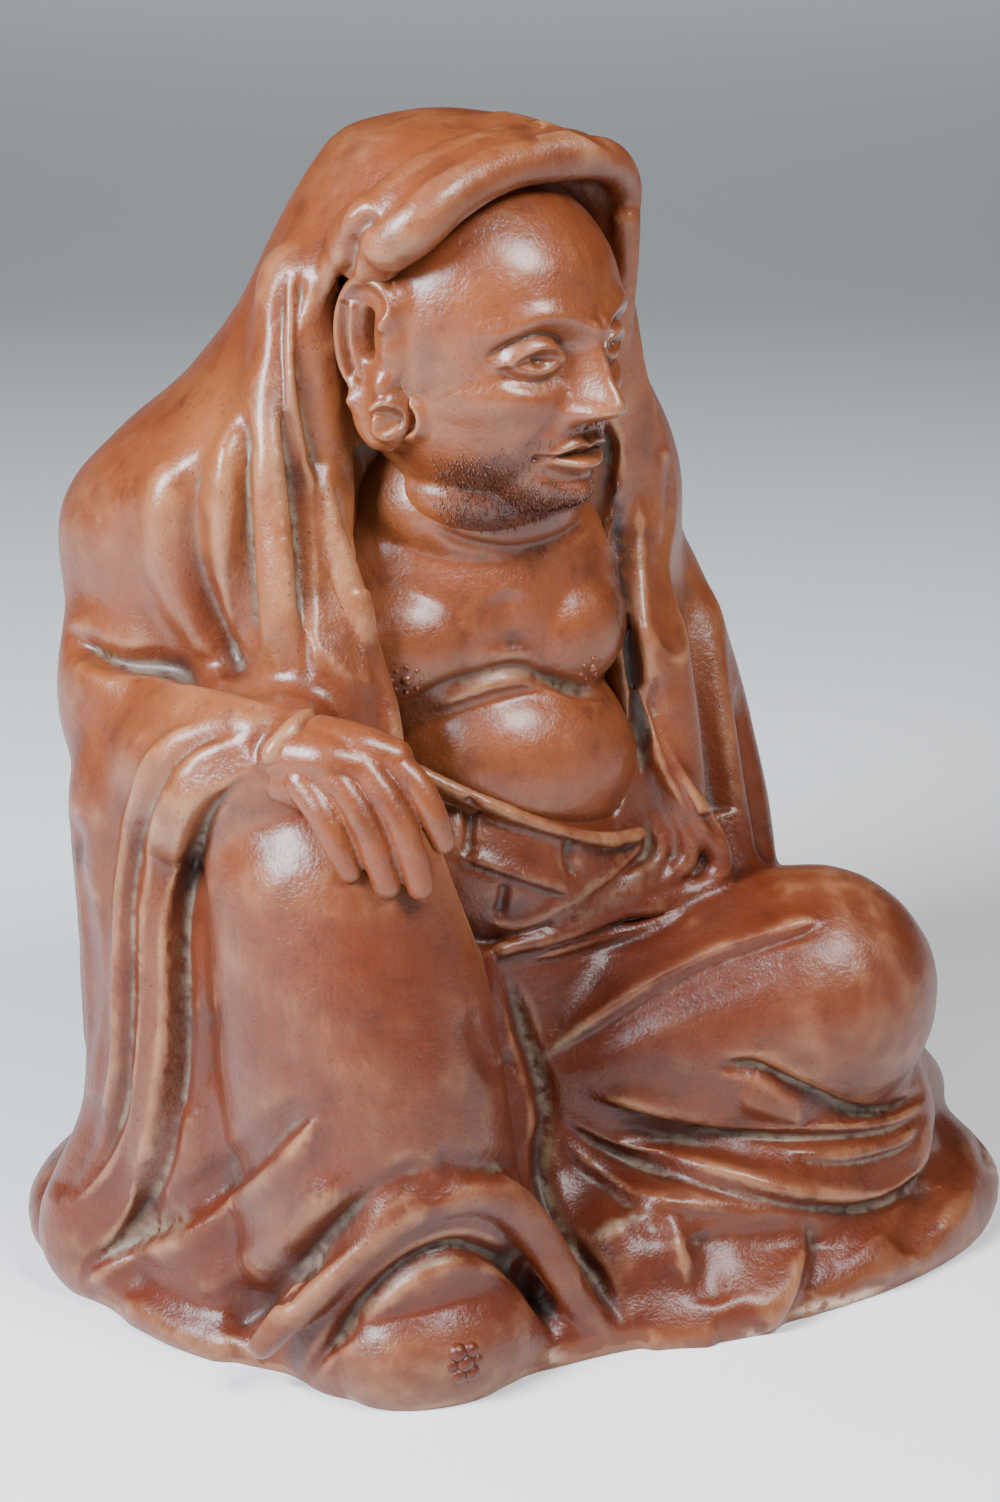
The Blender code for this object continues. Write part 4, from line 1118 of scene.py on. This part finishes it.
def stubbleTree():
    kinds = {"Skin": "Geometry", "Density": "Float", "Length": "Float", "Thickness": "Float", "Lift": "Float"}
    graph, given = newTree("stubble", {**kinds, "Seed": "Int", "Clay": "Material"})
    beard = graph.node("GeometryNodeInputNamedAttribute", {"data_type": "FLOAT"}, {"Name": "beard"})
    values = {"Mesh": given["Skin"], "Density": beard * given["Density"], "Seed": given["Seed"]}
    spots = graph.node("GeometryNodeDistributePointsOnFaces", {}, values)
    out = graph.node("ShaderNodeVectorMath", {"operation": "SCALE"}, {0: spots.other(1), "Scale": given["Lift"]})
    way = graph.node("ShaderNodeVectorMath", {"operation": "ADD"}, {0: out, 1: (0, 0, -1)})
    turn = graph.node("FunctionNodeAlignRotationToVector", {"axis": "Z"}, {"Vector": way})
    cone = {"Vertices": 4, "Radius Top": 0.0, "Radius Bottom": given["Thickness"], "Depth": given["Length"]}
    hair = graph.node("GeometryNodeMeshCone", {}, cone)
    share = {2: 0.6, 3: 1.15, "Seed": given["Seed"]}
    size = graph.node("FunctionNodeRandomValue", {"data_type": "FLOAT"}, share, output=1)
    values = {"Points": spots, "Instance": hair, "Rotation": turn, "Scale": size}
    return closeTree(graph, graph.node("GeometryNodeInstanceOnPoints", {}, values), given["Clay"])


# Beads: the spot on the sheet, then how many, and the radii of their ring, of one bead and of the middle one
beadSeed = 2
beads = {
    "right nipple": ((407, 680), {"Count": 8, "Ring": 0.0021, "Bead": 0.00042, "Middle": 0.00095}),
    "left nipple": ((592, 668), {"Count": 7, "Ring": 0.0019, "Bead": 0.00042, "Middle": 0.00085}),
    "toe knob": ((466, 1366), {"Count": 6, "Ring": 0.0019, "Bead": 0.0015, "Middle": 0.0016}),
}


def beadTree():
    kinds = {"Count": "Int", "Ring": "Float", "Bead": "Float", "Middle": "Float", "Clay": "Material"}
    graph, given = newTree("beads", kinds)
    ring = graph.node("GeometryNodeMeshCircle", {}, {"Vertices": given["Count"], "Radius": given["Ring"]})
    bead = graph.node("GeometryNodeMeshIcoSphere", {}, {"Radius": given["Bead"], "Subdivisions": 3})
    size = graph.node("FunctionNodeRandomValue", {"data_type": "FLOAT"}, {2: 0.65, 3: 1.15, "Seed": beadSeed}, output=1)
    dots = graph.node("GeometryNodeInstanceOnPoints", {}, {"Points": ring, "Instance": bead, "Scale": size})
    middle = graph.node("GeometryNodeMeshIcoSphere", {}, {"Radius": given["Middle"], "Subdivisions": 4})
    both = graph.node("GeometryNodeJoinGeometry", {}, {0: [dots, middle]})
    return closeTree(graph, both, given["Clay"])


def seenAt(obj, spot):  # where a spot of the sheet lies on a shell, and the way out there
    return rayTree(obj.data).ray_cast(*next(sheetRays([spot])))[:2]


def addBeads(cloth, skin):
    tree = beadTree()
    made = []
    for name, (spot, sizes) in beads.items():
        shell = cloth if name == "toe knob" else skin
        place, normal = seenAt(shell, spot)
        obj = grown(newObject(name, bmesh.new()), tree, {**sizes, "Clay": firedClay})
        sunk = place - normal * sizes["Bead"] * 0.6
        obj.data.transform(Matrix.Translation(sunk) @ normal.to_track_quat("Z", "Y").to_matrix().to_4x4())
        made.append(obj)
    return made


hair = grown(linked("stubble", headMesh.data.copy()), stubbleTree(), stubble)
nippleRight, nippleLeft, toeKnob = addBeads(robeMesh, bodyMesh)
for obj in (hair, nippleRight, nippleLeft, toeKnob):
    count = len(obj.data.vertices)
    addLayer(obj.data, "flesh", np.full(count, obj is not toeKnob))
    addLayer(obj.data, "beard", np.full(count, obj is hair))
print("stubble", len(hair.data.polygons), "and beads made")


def joinInto(target, others):
    everything = [target, *others]
    with bpy.context.temp_override(
        active_object=target, object=target, selected_objects=everything, selected_editable_objects=everything
    ):
        bpy.ops.object.join()


def placeAll(objects):  # moves the shells into the solid's own box
    low, high = (np.array(corner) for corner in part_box("bodhidharma_figure"))
    points = np.vstack([vertexArrays(obj.data)[0] for obj in objects])
    madeLow, madeHigh = points.min(axis=0), points.max(axis=0)
    middle, fit = (madeLow + madeHigh) / 2, (high - low) / (madeHigh - madeLow)
    goal = (low + high) / 2
    place = Matrix.Translation(goal) @ Matrix.Diagonal((*fit, 1)) @ Matrix.Translation(-middle)
    for obj in objects:
        obj.data.transform(place)
        obj.data.shade_smooth()
    print("moved by", [round(v, 2) for v in (goal - middle) / step], "and fitted by", [round(v, 4) for v in fit])
    return Vector(goal - middle)


joinInto(robeMesh, [toeKnob])
joinInto(bodyMesh, [headMesh, handMesh, hair, nippleRight, nippleLeft])
robeMesh.name = robeMesh.data.name = "stoneware_robe"
bodyMesh.name = bodyMesh.data.name = "stoneware_body"
shift = placeAll([robeMesh, bodyMesh])
for obj in (robeMesh, bodyMesh):
    obj.data.calc_loop_triangles()
    print(obj.name, "triangles", len(obj.data.loop_triangles))
    obj.data.materials.clear()
    obj.data.materials.append(firedClay)
    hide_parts("bodhidharma_figure")
    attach(obj, "root")
print("material on")

# Studio: a pale floor with a low rise behind, a window light on the left and soft light above
studio = {
    "floor": (0.72, 0.72, 0.72, 1),
    "air": 0.07,
    "airColour": (0.42, 0.44, 0.5, 1),
    "lights": {  # to the right, back and up from the figure, power, width, height, colour
        "window": ((-0.42, 0.46, 0.22), 16.5, 0.26, 0.3, (0.82, 0.9, 1.0)),
        "top": ((0.3, 0.5, 0.42), 8.2, 0.26, 0.24, (0.95, 0.97, 1.0)),
        "fill": ((0.75, 0.1, 0.1), 0.35, 0.5, 0.5, (1.0, 0.95, 0.9)),
    },
    "sensor": 36,
    "sheetHeight": 1502,
}


def flatMaterial(name, colour, roughness):
    material = bpy.data.materials.new(name)
    material.use_nodes = True
    shader = material.node_tree.nodes["Principled BSDF"]
    shader.inputs["Base Color"].default_value = colour
    shader.inputs["Roughness"].default_value = roughness
    return material


def buildFloor():
    back, right, _ = sheetDirections()
    away = Vector((-back.x, -back.y, 0)).normalized()
    turns = np.linspace(0, math.pi / 2, 14)
    profile = [(-1.8, 0)] + [(0.8 + 0.45 * math.sin(a), 0.16 - 0.16 * math.cos(a)) for a in turns]
    bm = bmesh.new()
    rows = [[bm.verts.new(away * d + right * side + Vector((0, 0, z))) for side in (-2, 2)] for d, z in profile]
    for low, high in zip(rows, rows[1:]):
        bm.faces.new((low[0], low[1], high[1], high[0]))
    floor = newObject("floor", bm)
    floor.data.shade_smooth()
    floor.data.materials.append(flatMaterial("backdrop", studio["floor"], 0.75))


def addLight(name, place, aim, energy, width, height, colour):
    light = bpy.data.lights.new(name, "AREA")
    light.shape, light.size, light.size_y, light.energy, light.color = "RECTANGLE", width, height, energy, colour
    turn = (aim - place).to_track_quat("-Z", "Y")
    linked(name, light).matrix_world = Matrix.Translation(place) @ turn.to_matrix().to_4x4()


buildFloor()
back, right, up = sheetDirections()
aim = at(0, 0, 85)
for name, ((x, y, z), energy, width, height, colour) in studio["lights"].items():
    addLight(name, aim + right * x + back * y + up * z, aim, energy, width, height, colour)
world = bpy.data.worlds.new("studio air")
bpy.context.scene.world = world
world.use_nodes = True
world.node_tree.nodes["Background"].inputs["Color"].default_value = studio["airColour"]
world.node_tree.nodes["Background"].inputs["Strength"].default_value = studio["air"]

camera = bpy.data.cameras.new("camera")
cameraObject = linked("camera", camera)
camera.sensor_fit, camera.sensor_height, camera.sensor_width = "VERTICAL", studio["sensor"], 24
camera.lens = studio["sensor"] * sheet["reach"] / studio["sheetHeight"]
camera.clip_start = 0.01
cameraObject.matrix_world = Matrix.Translation(sheetEye() + shift) @ back.to_track_quat("Z", "Y").to_matrix().to_4x4()
bpy.context.scene.camera = cameraObject

print("scene ready")
